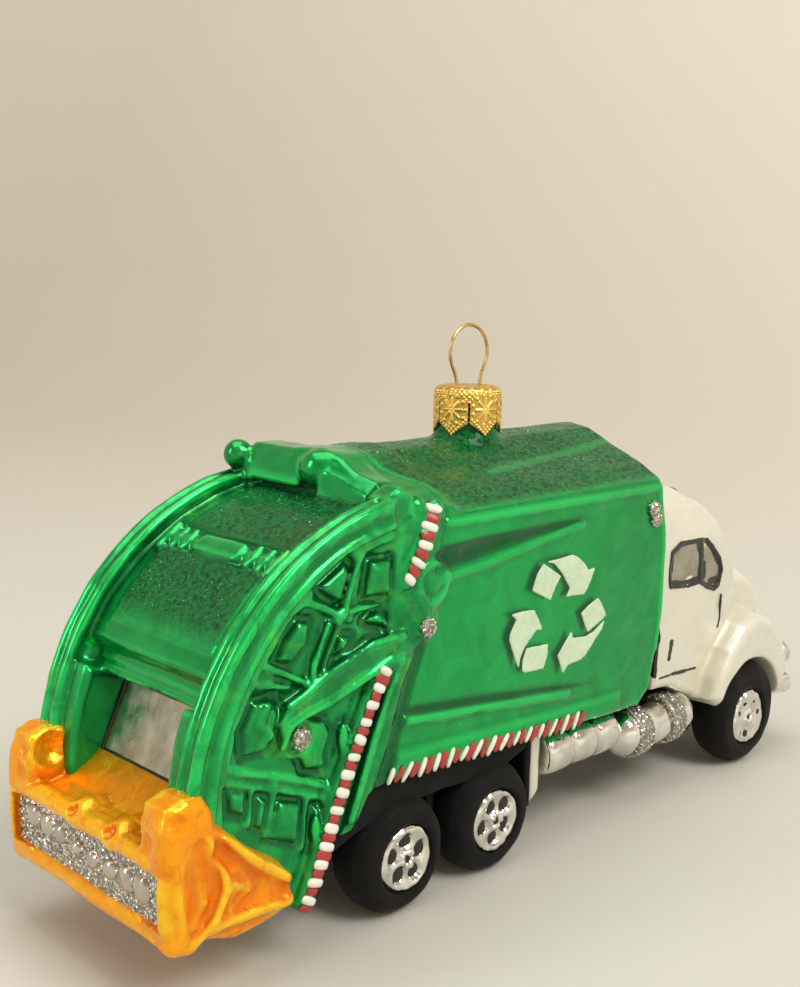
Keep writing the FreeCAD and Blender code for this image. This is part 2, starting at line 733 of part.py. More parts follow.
def make_fenders(cab):
    """Front fender over each front tyre, and the lamp on its nose."""
    inner = S.front_beam_half_width
    outer = inner + S.fender_width
    top_z = S.front_tyre_diameter + 9.0
    nose_x = front_axle_x + 14.6
    outline = [
        (front_axle_x - 13.4, S.bumper_top + 0.6),
        (nose_x, S.bumper_top),
        (nose_x, S.bumper_top + 5.6),
        (front_axle_x + 11.4, top_z - 6.6),
        (front_axle_x + 7.2, top_z - 2.8),
        (front_axle_x + 1.6, top_z),
        (front_axle_x - 4.0, top_z - 0.6),
        (front_axle_x - 10.0, top_z - 6.0),
    ]
    for side_name, side in SIDES:
        y_low, y_high = span(side, inner, outer)
        solid = side_pad(f"fender_{side_name}_block", outline, y_low, y_high)
        arch_radius = front_tyre_radius + S.fender_gap
        arch = cylinder(
            f"fender_{side_name}_arch",
            arch_radius,
            S.fender_width,
            (front_axle_x, y_low, front_tyre_radius),
            "Y",
        )
        arched = cut(f"fender_{side_name}_arched", solid, arch)
        keep(cut(f"fender_{side_name}_body", arched, cab), f"front_fender_{side_name}")
        lamp_y = (inner + outer) / 2 * side
        lamp_z = S.bumper_top + 3.0
        lamp = cylinder(f"headlamp_{side_name}_body", 2.3, 1.4, (nose_x, lamp_y, lamp_z), "X")
        keep(lamp, f"headlamp_{side_name}")


def make_bumper():
    """Front bumper below the hood and the fenders."""
    low_z = S.bumper_top - S.bumper_height
    half = S.bumper_half_width
    bumper = box("bumper", (bumper_back_x, -half, low_z), (front_x, half, S.bumper_top))
    keep(bumper, "front_bumper")


def make_glazing():
    """Windscreen, side windows and doors, moulded in low relief on the cab."""
    rise = S.relief
    slope_x, slope_z = 0.876, 0.482
    half = S.cab_half_width - 2.0
    foot_x, foot_z = cab_front_x - screen_run * 0.08, hood_z + screen_rise * 0.08
    head_x, head_z = cab_front_x - screen_run * 0.94, hood_z + screen_rise * 0.94
    outline = [
        (foot_x, foot_z),
        (foot_x + rise * slope_x, foot_z + rise * slope_z),
        (head_x + rise * slope_x, head_z + rise * slope_z),
        (head_x, head_z),
    ]
    keep(side_pad("screen", outline, -half, half), "windscreen")
    door = [
        (cab_back_x + 0.6, deck_z + 1.8),
        (cab_back_x + 12.4, deck_z + 1.2),
        (cab_back_x + 15.0, deck_z + 8.0),
        (cab_back_x + 11.6, deck_z + 15.6),
        (cab_back_x + 2.2, deck_z + 15.6),
    ]
    pane = [
        (cab_back_x + 3.1, deck_z + 16.1),
        (cab_back_x + 10.7, deck_z + 16.1),
        (cab_back_x + 12.4, deck_z + 23.0),
        (cab_back_x + 3.3, deck_z + 22.7),
    ]
    quarter = [
        (cab_back_x + 14.6, deck_z + 19.0),
        (cab_back_x + 16.9, deck_z + 13.9),
        (cab_back_x + 18.7, deck_z + 16.2),
        (cab_back_x + 17.8, deck_z + 19.3),
        (cab_back_x + 14.9, deck_z + 21.6),
    ]
    for side_name, side in SIDES:
        y_low, y_high = span(side, S.cab_half_width, S.cab_half_width + rise)
        keep(side_pad(f"door_{side_name}_body", door, y_low, y_high), f"door_{side_name}")
        panes = [
            side_pad(f"pane_{side_name}_body", pane, y_low, y_high),
            side_pad(f"quarter_{side_name}_body", quarter, y_low, y_high),
        ]
        keep(fused(f"panes_{side_name}", panes), f"side_window_{side_name}")


# ---------------------------------------------------------------- crown cap and hanger

cap_seat_z = neck_top_z + 0.05
cap_top_z = cap_seat_z + S.cap_wall
cap_inner = neck_radius + S.cap_clearance
loop_spread = S.neck_bore - S.leg_clearance - S.wire_radius
loop_radius = loop_spread + S.loop_bulge


def make_cap():
    """Crimped metal cap: a cup upside down with pointed petals round its lower edge."""
    outer_radius = cap_inner + S.cap_wall
    tips_z = cap_seat_z - S.cap_skirt
    cup = cylinder("cap_cup", outer_radius, S.cap_skirt + S.cap_wall, (neck_x, 0.0, tips_z))
    inside = cylinder("cap_inside", cap_inner, S.cap_skirt, (neck_x, 0.0, tips_z))
    shell = cut("cap_shell", cup, inside)
    tools = []
    for side_name, side in SIDES:
        hole = cylinder(
            f"cap_hole_{side_name}",
            S.wire_radius + S.wire_clearance,
            S.cap_wall * 3,
            (neck_x + loop_spread * side, 0.0, cap_seat_z - S.cap_wall),
        )
        tools.append(hole)
    petals = int(S.cap_petals.number)
    for one in range(petals):
        notch = doc.addObject("Part::Wedge", f"cap_notch_{one}")
        half_width = outer_radius * 0.45
        bind(notch, Xmin=-half_width, Xmax=half_width, X2min=as_size(-0.05), X2max=as_size(0.05))
        bind(notch, Ymin=as_size(-0.5), Ymax=S.petal_slit, Zmin=as_size(0.0), Zmax=outer_radius * 1.5)
        bind(notch, Z2min=as_size(0.0), Z2max=outer_radius * 1.5)
        angle = 360.0 / petals * (one + 0.5)
        upright = FreeCAD.Rotation(FreeCAD.Vector(1, 0, 0), 90)
        facing = FreeCAD.Rotation(FreeCAD.Vector(0, 0, 1), angle)
        notch.Placement = FreeCAD.Placement(FreeCAD.Vector(), facing.multiply(upright))
        bind(notch, Base_x=neck_x, Base_y=as_size(0.0), Base_z=tips_z)
        tools.append(notch)
    keep(cut("cap_crown", shell, fused("cap_tools", tools)), "cap")


LEG_SLANT = 27.0


def make_hanger():
    """Wire loop: an arc, two straight lengths that draw together, and two legs down into the neck."""
    centre_z = cap_top_z + S.loop_rise
    slant = math.radians(LEG_SLANT)
    length = (loop_radius * math.cos(slant) - loop_spread) / math.sin(slant)
    bend_z = centre_z - loop_radius * math.sin(slant) - length * math.cos(slant)
    foot_z = cap_top_z - S.leg_depth
    pieces = []
    for side_name, side in SIDES:
        x = neck_x + loop_spread * side
        pieces.append(cylinder(f"leg_{side_name}", S.wire_radius, bend_z - foot_z, (x, 0.0, foot_z)))
        pieces.append(ball(f"bend_{side_name}", S.wire_radius, (x, 0.0, bend_z)))
        slope = doc.addObject("Part::Cylinder", f"slope_{side_name}")
        turn = FreeCAD.Rotation(FreeCAD.Vector(0, 1, 0), LEG_SLANT * side)
        slope.Placement = FreeCAD.Placement(FreeCAD.Vector(), turn)
        bind(slope, Radius=S.wire_radius, Height=length)
        bind(slope, Base_x=x, Base_y=as_size(0.0), Base_z=bend_z)
        pieces.append(slope)
    ring = doc.addObject("Part::Torus", "loop_ring")
    upright = FreeCAD.Rotation(FreeCAD.Vector(1, 0, 0), 90)
    start = FreeCAD.Rotation(FreeCAD.Vector(0, 0, 1), -LEG_SLANT)
    ring.Placement = FreeCAD.Placement(FreeCAD.Vector(), upright.multiply(start))
    ring.Angle3 = 180.0 + 2 * LEG_SLANT
    bind(ring, Radius1=loop_radius, Radius2=S.wire_radius)
    bind(ring, Base_x=neck_x, Base_y=as_size(0.0), Base_z=centre_z)
    pieces.append(ring)
    keep(fused("wire", pieces), "hanger")


# ---------------------------------------------------------------- the whole ornament


def check_and_export():
    """Refuse anything that failed, then write one file for each piece."""
    doc.recompute()
    for thing in doc.Objects:
        if "Invalid" in thing.State or "Error" in thing.State:
            raise RuntimeError(f"{thing.Name} failed: {thing.State}")
    for piece in nodes:
        if piece.Shape.isNull() or not piece.Shape.isValid():
            raise RuntimeError(f"{piece.Label} has no valid shape")
    for piece in nodes:
        piece.Shape.exportStep(f"parts/{piece.Label}.step")
        bounds = piece.Shape.BoundBox
        solids = len(piece.Shape.Solids)
        print(f"{piece.Label:24s} solids {solids} volume {piece.Shape.Volume:9.1f} z {bounds.ZMin:6.2f} {bounds.ZMax:6.2f}")


make_refuse_body()
make_skirts()
make_tailgate()
make_rear_window()
make_tail_rails()
make_packer_arms()
make_cross_bar()
hopper_piece = make_hopper()
make_rear_lamps()
make_hopper_knobs(hopper_piece)
make_chassis()
make_wheels()
make_side_gear()
cab_piece = make_cab()
make_hood()
make_fenders(cab_piece)
make_bumper()
make_glazing()
make_cap()
make_hanger()
check_and_export()
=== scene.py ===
"""Looks of a blown-glass tree ornament in the shape of a rear-loading refuse truck.

Laid out as a Blender add-on and run as a script.  The glass is cast the way a mould gives it:
rounded solids are blended into one soft shell, which is then divided into the painted parts.
Solids are written in millimetres from the rearmost axle: x forward, y out from the middle to
either side, z up from the ground.
"""

import math

import bmesh
import bpy
import numpy as np
from bpy.props import FloatProperty, FloatVectorProperty, IntProperty, PointerProperty
from mathutils import Matrix, Vector


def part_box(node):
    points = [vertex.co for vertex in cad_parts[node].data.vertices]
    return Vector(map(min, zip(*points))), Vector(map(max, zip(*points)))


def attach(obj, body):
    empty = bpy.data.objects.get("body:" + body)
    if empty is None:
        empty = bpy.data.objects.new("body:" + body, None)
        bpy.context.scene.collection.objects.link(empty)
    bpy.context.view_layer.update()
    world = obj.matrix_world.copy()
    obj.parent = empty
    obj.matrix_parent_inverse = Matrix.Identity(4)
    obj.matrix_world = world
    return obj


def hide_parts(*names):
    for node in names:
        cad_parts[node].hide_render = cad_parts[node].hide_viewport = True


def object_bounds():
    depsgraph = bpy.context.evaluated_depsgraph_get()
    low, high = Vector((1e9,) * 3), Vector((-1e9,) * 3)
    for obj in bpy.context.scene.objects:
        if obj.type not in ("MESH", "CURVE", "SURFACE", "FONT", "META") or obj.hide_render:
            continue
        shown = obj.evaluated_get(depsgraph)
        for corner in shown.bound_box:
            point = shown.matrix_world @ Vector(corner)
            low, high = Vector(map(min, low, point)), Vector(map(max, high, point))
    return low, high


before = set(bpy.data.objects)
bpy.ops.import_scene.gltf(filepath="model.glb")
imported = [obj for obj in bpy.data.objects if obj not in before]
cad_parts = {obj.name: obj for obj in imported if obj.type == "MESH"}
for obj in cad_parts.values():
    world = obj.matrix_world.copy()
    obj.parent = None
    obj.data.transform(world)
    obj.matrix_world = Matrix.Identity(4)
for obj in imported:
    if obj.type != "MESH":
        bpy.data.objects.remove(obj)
CAD_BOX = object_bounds()

bl_info = {
    "name": "Glass Refuse Truck Ornament",
    "version": (1, 0, 0),
    "blender": (4, 5, 0),
    "location": "View3D > Sidebar > Ornament",
    "description": "Builds the painted glass of a refuse truck tree ornament round its CAD frame",
    "category": "Object",
}

MM = 1000.0


def box_mm(node, origin=(0.0, 0.0, 0.0)):
    """A CAD node's low and high corners in millimetres from an origin."""
    return [np.array(corner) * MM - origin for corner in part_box(node)]


# ---------------------------------------------------------------- places taken from the frame

AXLE_X = float(sum(corner[0] for corner in box_mm("tyre_rear_left"))) / 2
ORIGIN = np.array([AXLE_X, 0.0, 0.0])
REAR_TYRE, MIDDLE_TYRE, FRONT_TYRE, CAP, WIRE = (
    box_mm(node, ORIGIN) for node in ("tyre_rear_left", "tyre_middle_left", "tyre_front_left", "cap", "hanger")
)
MIDDLE_X = float(MIDDLE_TYRE[0][0] + MIDDLE_TYRE[1][0]) / 2
FRONT_X = float(FRONT_TYRE[0][0] + FRONT_TYRE[1][0]) / 2
REAR_RADIUS = float(REAR_TYRE[1][2]) / 2
FRONT_RADIUS = float(FRONT_TYRE[1][2]) / 2
BACK_X = float(CAD_BOX[0][0]) * MM - AXLE_X
NECK_X = float(CAP[0][0] + CAP[1][0]) / 2
ROOT = "truck"


class OrnamentSizes(bpy.types.PropertyGroup):
    """Sizes of the moulded glass and its paint, in millimetres."""

    step: FloatProperty(name="Cast step", description="Spacing of the glass surface's points", default=0.38, min=0.2)
    paint_step: FloatProperty(name="Paint step", description="Spacing of the paint's points", default=0.2, min=0.1)
    ripple: FloatProperty(name="Ripple", description="Height of the glass's slow waves", default=0.07, min=0.0)
    grain: FloatProperty(name="Grain", description="Size of one glitter flake", default=0.2, min=0.1)
    hub_holes: IntProperty(name="Hub holes", description="Holes round a rear hub", default=5, min=3)
    seed: IntProperty(name="Seed", description="Start of every scatter", default=7, min=0)


def colour(name, text, value):
    """A colour property with its name, description and default."""
    return FloatVectorProperty(name=name, description=text, default=value, subtype="COLOR", size=3, min=0.0, max=1.0)


class OrnamentColours(bpy.types.PropertyGroup):
    """Colours of the lacquers, paints and metals."""

    green: colour("Green", "Lacquer of the body and tail", (0.0, 0.31, 0.062))
    green_light: colour("Light green", "Thin lacquer on ridges", (0.015, 0.62, 0.13))
    # Deep green, a little darker, also colours the painted shade on the body's side and the sign's printed shadow.
    green_deep: colour("Deep green", "Thick lacquer in hollows", (0.0, 0.095, 0.026))
    amber: colour("Amber", "Lacquer of the hopper", (1.0, 0.33, 0.002))
    amber_light: colour("Light amber", "Thin lacquer on the hopper's ridges", (1.0, 0.60, 0.02))
    amber_deep: colour("Deep amber", "Thick lacquer in the hopper's hollows", (0.78, 0.14, 0.0))
    pearl: colour("Pearl", "Paint of the cab", (0.715, 0.70, 0.60))
    black: colour("Black", "Matt paint of the tyres", (0.0022, 0.0022, 0.0019))
    white: colour("White", "Brushed white paint", (0.86, 0.85, 0.78))
    red: colour("Red", "Brushed red paint", (0.45, 0.03, 0.025))
    gold: colour("Gold", "Crown cap", (1.0, 0.64, 0.15))


def sizes():
    """The scene's sizes."""
    return bpy.context.scene.ornament_sizes


def colours():
    """The scene's colours."""
    return bpy.context.scene.ornament_colours


# ---------------------------------------------------------------- solids as distance fields

REACH = 3.2


class Solid:
    """A shape known by its signed distance, negative inside, with the box that holds it."""

    def __init__(self, distance, low, high):
        self.distance = distance
        self.low = np.array(low, float)
        self.high = np.array(high, float)

    def __call__(self, x, y, z):
        low, high = self.low - REACH, self.high + REACH
        near = (x > low[0]) & (x < high[0]) & (y > low[1]) & (y < high[1]) & (z > low[2]) & (z < high[2])
        out = np.full(x.shape, REACH, np.float32)
        if near.any():
            out[near] = self.distance(x[near], y[near], z[near])
        return out


def soft_min(a, b, k):
    """The smaller of two distances, with a rounded inner corner of about k."""
    near = np.maximum(k - np.abs(a - b), 0.0)
    return np.minimum(a, b) - near * near / (4.0 * k)


def join(solids, k):
    """Several solids melted together."""
    solids = list(solids)

    def distance(x, y, z):
        out = solids[0](x, y, z)
        for one in solids[1:]:
            out = soft_min(out, one(x, y, z), k)
        return out

    low = np.min([one.low for one in solids], axis=0)
    high = np.max([one.high for one in solids], axis=0)
    return Solid(distance, low, high)


def carve(base, tools, k):
    """A solid with others pressed into it."""
    tools = list(tools)

    def distance(x, y, z):
        out = base(x, y, z)
        for one in tools:
            out = -soft_min(-out, one(x, y, z), k)
        return out

    return Solid(distance, base.low, base.high)


def within(base, limit, k=0.05):
    """What lies in both solids."""

    def distance(x, y, z):
        return -soft_min(-base(x, y, z), -limit(x, y, z), k)

    return Solid(distance, np.maximum(base.low, limit.low), np.minimum(base.high, limit.high))


def mirrored(solid):
    """A solid made on the +y side, given to both sides."""
    low = np.array([solid.low[0], -solid.high[1], solid.low[2]])
    return Solid(lambda x, y, z: solid(x, np.abs(y), z), low, solid.high)


def edge_distance(u, v, points):
    """Signed distance in the plane to a closed outline."""
    best = np.full(u.shape, 1e6, np.float32)
    sign = np.ones(u.shape, np.float32)
    previous = points[-1]
    for point in points:
        du, dv = previous[0] - point[0], previous[1] - point[1]
        wu, wv = u - point[0], v - point[1]
        t = np.clip((wu * du + wv * dv) / (du * du + dv * dv), 0.0, 1.0)
        best = np.minimum(best, (wu - du * t) ** 2 + (wv - dv * t) ** 2)
        above, below = v >= point[1], v < previous[1]
        left = du * wv > dv * wu
        flip = (above & below & left) | (~above & ~below & ~left)
        sign = np.where(flip, -sign, sign)
        previous = point
    return sign * np.sqrt(best)


def rounded(flat, across, radius):
    """Join a distance in the plane with one across it, with the edge rounded."""
    a, b = flat + radius, across + radius
    outside = np.sqrt(np.maximum(a, 0.0) ** 2 + np.maximum(b, 0.0) ** 2)
    return outside + np.minimum(np.maximum(a, b), 0.0) - radius


def spanned(axis, start, end, flat_low, flat_high):
    """Corners of a box from start to end along an axis, with its extent on the other two."""
    return np.insert(np.array(flat_low, float), axis, start), np.insert(np.array(flat_high, float), axis, end)


def slab(points, axis, start, end, radius):
    """An outline in the plane across an axis, given a thickness from start to end along it."""
    middle, half = (start + end) / 2, (end - start) / 2
    u, v = (other for other in range(3) if other != axis)

    def distance(*place):
        return rounded(edge_distance(place[u], place[v], points), np.abs(place[axis] - middle) - half, radius)

    return Solid(distance, *spanned(axis, start, end, np.min(points, axis=0), np.max(points, axis=0)))


def even(half):
    """An outline from its points on the lower side of 0, the last of which may lie on 0."""
    return half + [(-across, up) for across, up in reversed(half) if across]


def plate(points, y0, y1, radius=0.4):
    """An outline (x, z) from y0 to y1."""
    return slab(points, 1, y0, y1, radius)


def section(points, x0, x1, radius=0.4):
    """An outline (y, z) from x0 to x1."""
    return slab(points, 0, x0, x1, radius)


def stroke(a, b, radius, axis, start, end):
    """A round-ended bar between two points of the plane across an axis, right through from start to end."""
    a, b = np.array(a, float), np.array(b, float)
    along = b - a
    length = max(float(along @ along), 1e-9)
    u, v = (other for other in range(3) if other != axis)

    def distance(*place):
        du, dv = place[u] - a[0], place[v] - a[1]
        t = np.clip((du * along[0] + dv * along[1]) / length, 0.0, 1.0)
        flat = np.sqrt((du - along[0] * t) ** 2 + (dv - along[1] * t) ** 2) - radius
        return np.maximum(flat, np.abs(place[axis] - (start + end) / 2) - (end - start) / 2)

    return Solid(distance, *spanned(axis, start, end, np.minimum(a, b) - radius, np.maximum(a, b) + radius))


def rod(a, b, radius, end_radius=None):
    """A round rod between two points, thinner or thicker at its end."""
    a, b = np.array(a, float), np.array(b, float)
    end_radius = radius if end_radius is None else end_radius
    along = b - a
    length = float(along @ along)

    def distance(x, y, z):
        px, py, pz = x - a[0], y - a[1], z - a[2]
        t = np.clip((px * along[0] + py * along[1] + pz * along[2]) / max(length, 1e-9), 0.0, 1.0)
        gap = np.sqrt((px - along[0] * t) ** 2 + (py - along[1] * t) ** 2 + (pz - along[2] * t) ** 2)
        return gap - (radius + (end_radius - radius) * t)

    most = max(radius, end_radius)
    return Solid(distance, np.minimum(a, b) - most, np.maximum(a, b) + most)


def path(points, radius):
    """A rod bent through several points, each written (x, z, y) as the side view shows it."""
    bends = [(x, y, z) for x, z, y in points]
    return join([rod(start, end, radius) for start, end in zip(bends, bends[1:])], 0.2)


def egg(centre, radii):
    """A ball with its own radius along each axis."""
    centre, radii = np.array(centre, float), np.array(radii, float)

    def distance(x, y, z):
        px, py, pz = (x - centre[0]) / radii[0], (y - centre[1]) / radii[1], (z - centre[2]) / radii[2]
        size = np.sqrt(px * px + py * py + pz * pz)
        qx, qy, qz = px / radii[0], py / radii[1], pz / radii[2]
        slope = np.sqrt(qx * qx + qy * qy + qz * qz)
        return size * (size - 1.0) / np.maximum(slope, 1e-6)

    return Solid(distance, centre - radii, centre + radii)


def turned(outline, axis, centre, radius):
    """An outline (distance from a line, place along it) turned about that line, which runs along an axis."""
    u, v = (other for other in range(3) if other != axis)

    def distance(*place):
        around = np.sqrt((place[u] - centre[0]) ** 2 + (place[v] - centre[1]) ** 2)
        return edge_distance(around, place[axis], outline) - radius

    reach = max(p[0] for p in outline) + radius
    along = [p[1] for p in outline]
    low, high = np.array(centre, float) - reach, np.array(centre, float) + reach
    return Solid(distance, *spanned(axis, min(along) - radius, max(along) + radius, low, high))


def collar(x, y, z, ring, thick, half, soft, spare=0.0):
    """A soft-edged band round a lengthwise line, or a disc where ring is 0; its box reaches a spare width further."""

    def distance(px, py, pz):
        around = np.sqrt((py - y) ** 2 + (pz - z) ** 2) - ring
        return rounded(np.abs(around) - thick, np.abs(px - x) - half, soft)

    reach = ring + thick + spare
    return Solid(distance, (x - half, y - reach, z - reach), (x + half, y + reach, z + reach))


def hoop(cx, cz, ring, y, radius, start, end):
    """A rod bent along an arc in the side view; angles from the rear, upward, in degrees."""
    a0, a1 = math.radians(start), math.radians(end)

    def distance(x, yy, z):
        u, v = -(x - cx), z - cz
        angle = np.clip(np.arctan2(v, u), a0, a1)
        return np.sqrt((u - ring * np.cos(angle)) ** 2 + (v - ring * np.sin(angle)) ** 2 + (yy - y) ** 2) - radius

    reach = ring + radius
    return Solid(distance, (cx - reach, y - radius, cz - reach), (cx + reach, y + radius, cz + reach))


def rippled(solid, height):
    """A solid with the slow waves of blown glass."""

    def distance(x, y, z):
        wave = np.sin(0.47 * x + 1.3 * np.sin(0.31 * z)) * np.sin(0.53 * z + 0.7 + 0.37 * y)
        fine = np.sin(1.21 * x - 0.83 * z + 0.6 * y) * np.sin(0.97 * z + 1.7 + 0.9 * y)
        return solid(x, y, z) + height * (wave + 0.35 * fine)

    return Solid(distance, solid.low - height, solid.high + height)


def boxed(solid):
    """A solid kept just inside the whole ornament's box."""
    low, high = np.array(CAD_BOX[0]) * MM - ORIGIN + 0.1, np.array(CAD_BOX[1]) * MM - ORIGIN - 0.1

    def distance(x, y, z):
        over = np.maximum(np.maximum(low[0] - x, x - high[0]), np.abs(y) - high[1])
        return np.maximum(np.maximum(solid(x, y, z), over), low[2] - z)

    return Solid(distance, np.maximum(solid.low, low), np.minimum(solid.high, high))


def grown(solid, by):
    """A solid with its whole surface moved outward."""
    return Solid(lambda x, y, z: solid(x, y, z) - by, solid.low - by, solid.high + by)


# ---------------------------------------------------------------- casting a solid into a mesh

# Corners of a grid cell, cells in a block, how far a point is pulled at most (in steps) and drawn to its
# neighbours, and how far out and in a hollow or ridge is felt.
CORNERS = np.array([(i, j, k) for i in (0, 1) for j in (0, 1) for k in (0, 1)])
BLOCK = 6
MOST_PULL = 0.4
DRAW = 0.6
FELT = (0.8, 1.6)


def sample(solid, low, counts, step):
    """Distances on a grid, worked out closely only in the blocks that the surface may cross."""
    blocks = counts // BLOCK
    span = step * BLOCK
    centres = [low[a] + (np.arange(blocks[a]) + 0.5) * span - step / 2 for a in range(3)]
    bx, by, bz = np.meshgrid(*centres, indexing="ij")
    coarse = solid(bx.ravel(), by.ravel(), bz.ravel()).reshape(bx.shape)
    values = np.repeat(np.repeat(np.repeat(coarse, BLOCK, 0), BLOCK, 1), BLOCK, 2).astype(np.float32)
    active = np.argwhere(np.abs(coarse) < span * 0.95)
    inner = np.array(np.meshgrid(*[np.arange(BLOCK)] * 3, indexing="ij")).reshape(3, -1).T
    for part in np.array_split(active, max(1, len(active) * BLOCK**3 // 600000 + 1)):
        where = (part[:, None, :] * BLOCK + inner[None]).reshape(-1, 3)
        place = low + where * step
        values[where[:, 0], where[:, 1], where[:, 2]] = solid(place[:, 0], place[:, 1], place[:, 2])
    return values


def slopes(solid, place, reach=0.03):
    """Direction in which the distance grows fastest."""
    out = np.empty_like(place)
    for axis in range(3):
        ahead, behind = place.copy(), place.copy()
        ahead[:, axis] += reach
        behind[:, axis] -= reach
        out[:, axis] = (solid(*ahead.T).astype(float) - solid(*behind.T)) / (2 * reach)
    return out


def pulled(solid, place, step):
    """Points moved toward a solid's surface, by part of a step at most."""
    slope = slopes(solid, place)
    size = np.maximum((slope**2).sum(1), 0.05)
    move = -solid(*place.T)[:, None] * slope / size[:, None]
    return place + np.clip(move, -MOST_PULL * step, MOST_PULL * step)


def relaxed(solid, place, quads, step):
    """Points drawn toward their neighbours along a solid's surface, so that narrow ridges stay even."""
    total, weight = np.zeros_like(place), np.zeros(len(place))
    for a, b in ((0, 1), (1, 2), (2, 3), (3, 0)):
        for i, j in ((a, b), (b, a)):
            for axis in range(3):
                total[:, axis] += np.bincount(quads[:, i], place[quads[:, j], axis], len(place))
            weight += np.bincount(quads[:, i], minlength=len(place))
    used = weight > 0
    moved = place.copy()
    moved[used] += DRAW * (total[used] / weight[used, None] - place[used])
    return pulled(solid, moved, step)


def surface(solid, step):
    """Points and quads of a solid's surface, one point in each grid cell that it crosses."""
    low = solid.low - step * 2.3
    counts = (np.ceil((solid.high - low + step * 2.3) / (step * BLOCK)).astype(int)) * BLOCK
    values = sample(solid, low, counts, step)
    inside = values < 0
    cell_sum = sum(
        inside[i : counts[0] - 1 + i, j : counts[1] - 1 + j, k : counts[2] - 1 + k].astype(np.int8)
        for i, j, k in CORNERS
    )
    cells = np.argwhere((cell_sum > 0) & (cell_sum < 8))
    number = np.full(np.array(counts) - 1, -1, np.int64)
    number[tuple(cells.T)] = np.arange(len(cells))
    total, weight = np.zeros((len(cells), 3)), np.zeros(len(cells))
    for a in range(8):
        for b in range(a + 1, 8):
            apart = CORNERS[b] - CORNERS[a]
            if np.abs(apart).sum() != 1:
                continue
            va = values[tuple((cells + CORNERS[a]).T)].astype(float)
            vb = values[tuple((cells + CORNERS[b]).T)].astype(float)
            crossed = (va < 0) != (vb < 0)
            t = np.where(crossed, va / np.where(va == vb, 1.0, va - vb), 0.0)
            total += np.where(crossed[:, None], CORNERS[a] + t[:, None] * apart, 0.0)
            weight += crossed
    place = low + (cells + total / weight[:, None]) * step
    for _ in range(3):
        place = pulled(solid, place, step)
    quads = []
    for axis in range(3):
        a, b = (axis + 1) % 3, (axis + 2) % 3
        first = [slice(None)] * 3
        second = [slice(None)] * 3
        first[axis], second[axis] = slice(None, -1), slice(1, None)
        change = inside[tuple(first)] != inside[tuple(second)]
        spots = np.argwhere(change)
        across = spots[:, (a, b)]
        spots = spots[((across > 0) & (across < counts[[a, b]] - 1)).all(1)]
        corners = []
        for da, db in ((1, 1), (0, 1), (0, 0), (1, 0)):
            spot = spots.copy()
            spot[:, a] -= da
            spot[:, b] -= db
            corners.append(number[tuple(spot.T)])
        quad = np.stack(corners, 1)
        outward = inside[tuple(spots.T)]
        quad[~outward] = quad[~outward][:, ::-1]
        quads.append(quad)
    quads = np.concatenate(quads)
    quads = quads[(quads >= 0).all(1)]
    for _ in range(2):
        place = relaxed(solid, place, quads, step)
    return place, quads


def placed(name, data):
    """A new object holding some data, in the scene's collection."""
    thing = bpy.data.objects.new(name, data)
    bpy.context.scene.collection.objects.link(thing)
    return thing


def write_layer(mesh, name, values, kind="FLOAT"):
    """Keep a value for each point of a mesh: one number, or three where kind is FLOAT_VECTOR."""
    layer = mesh.attributes.new(name, kind, "POINT")
    layer.data.foreach_set("value" if kind == "FLOAT" else "vector", np.asarray(values, np.float32).ravel())


def in_metres(place):
    """Points given in millimetres from the rearmost axle, flat and in metres from the middle."""
    return ((np.asarray(place, float) + ORIGIN) / MM).astype(np.float32).ravel()


def mesh_object(name, place, faces, attributes):
    """A mesh object from points in millimetres from the rearmost axle, and quads."""
    mesh = bpy.data.meshes.new(name)
    sides = faces.shape[1]
    mesh.vertices.add(len(place))
    mesh.vertices.foreach_set("co", in_metres(place))
    mesh.loops.add(faces.size)
    mesh.loops.foreach_set("vertex_index", faces.astype(np.int32).ravel())
    mesh.polygons.add(len(faces))
    mesh.polygons.foreach_set("loop_start", np.arange(0, faces.size, sides, dtype=np.int32))
    mesh.polygons.foreach_set("loop_total", np.full(len(faces), sides, np.int32))
    mesh.update(calc_edges=True)
    mesh.validate()
    mesh.shade_smooth()
    for key, values in attributes.items():
        write_layer(mesh, key, values)
    return placed(name, mesh)


def cast(name, solid, step, whole=None, masks=None):
    """Cast a solid as a piece, with how deep each point lies in a hollow or out on a ridge."""
    place, quads = surface(solid, step)
    form = whole or solid
    slope = slopes(form, place, 0.12)
    outward = slope / np.maximum(np.sqrt((slope**2).sum(1)), 1e-6)[:, None]
    hollow = np.zeros(len(place))
    ridge = np.zeros(len(place))
    for reach in FELT:
        hollow += np.clip(1.0 - form(*(place + outward * reach).T) / reach, 0.0, 1.0) / len(FELT)
        ridge += np.clip(1.0 + form(*(place - outward * reach).T) / reach, 0.0, 1.0) / len(FELT)
    attributes = {"hollow": hollow, "ridge": ridge}
    for key, mask in (masks or {}).items():
        attributes[key] = mask(place, outward)
    return mesh_object(name, place, quads, attributes)


# ---------------------------------------------------------------- forms of the body

# The seam between body and tail: its foot, the height of that, and how far it leans forward over what height.
JOINT_X, JOINT_FOOT = -4.0, 18.0
JOINT_LEAN = 10.4
LEAN_HEIGHT = 34.6


def beside_joint(way, shift):
    """Everything in front of the seam (way 1) or behind it (way -1), with the seam moved forward by shift."""
    slope = JOINT_LEAN / LEAN_HEIGHT
    size = math.hypot(1.0, slope) * way
    low, high = ((JOINT_X - 9, -25, 0), (110, 25, 80)) if way > 0 else ((-45, -25, 0), (JOINT_X + 20, 25, 80))
    return Solid(lambda x, y, z: (JOINT_X + shift + slope * (z - JOINT_FOOT) - x) / size, low, high)


# ---------------------------------------------------------------- the tail's drum

# The axis that the tail's arcs are drawn about.
DRUM_X, DRUM_Z = 1.3, 20.8


def on_drum(degrees, ring):
    """A point on the tail's arc; degrees go up from level behind the drum's axis."""
    a = math.radians(degrees)
    return DRUM_X - ring * math.cos(a), DRUM_Z + ring * math.sin(a)


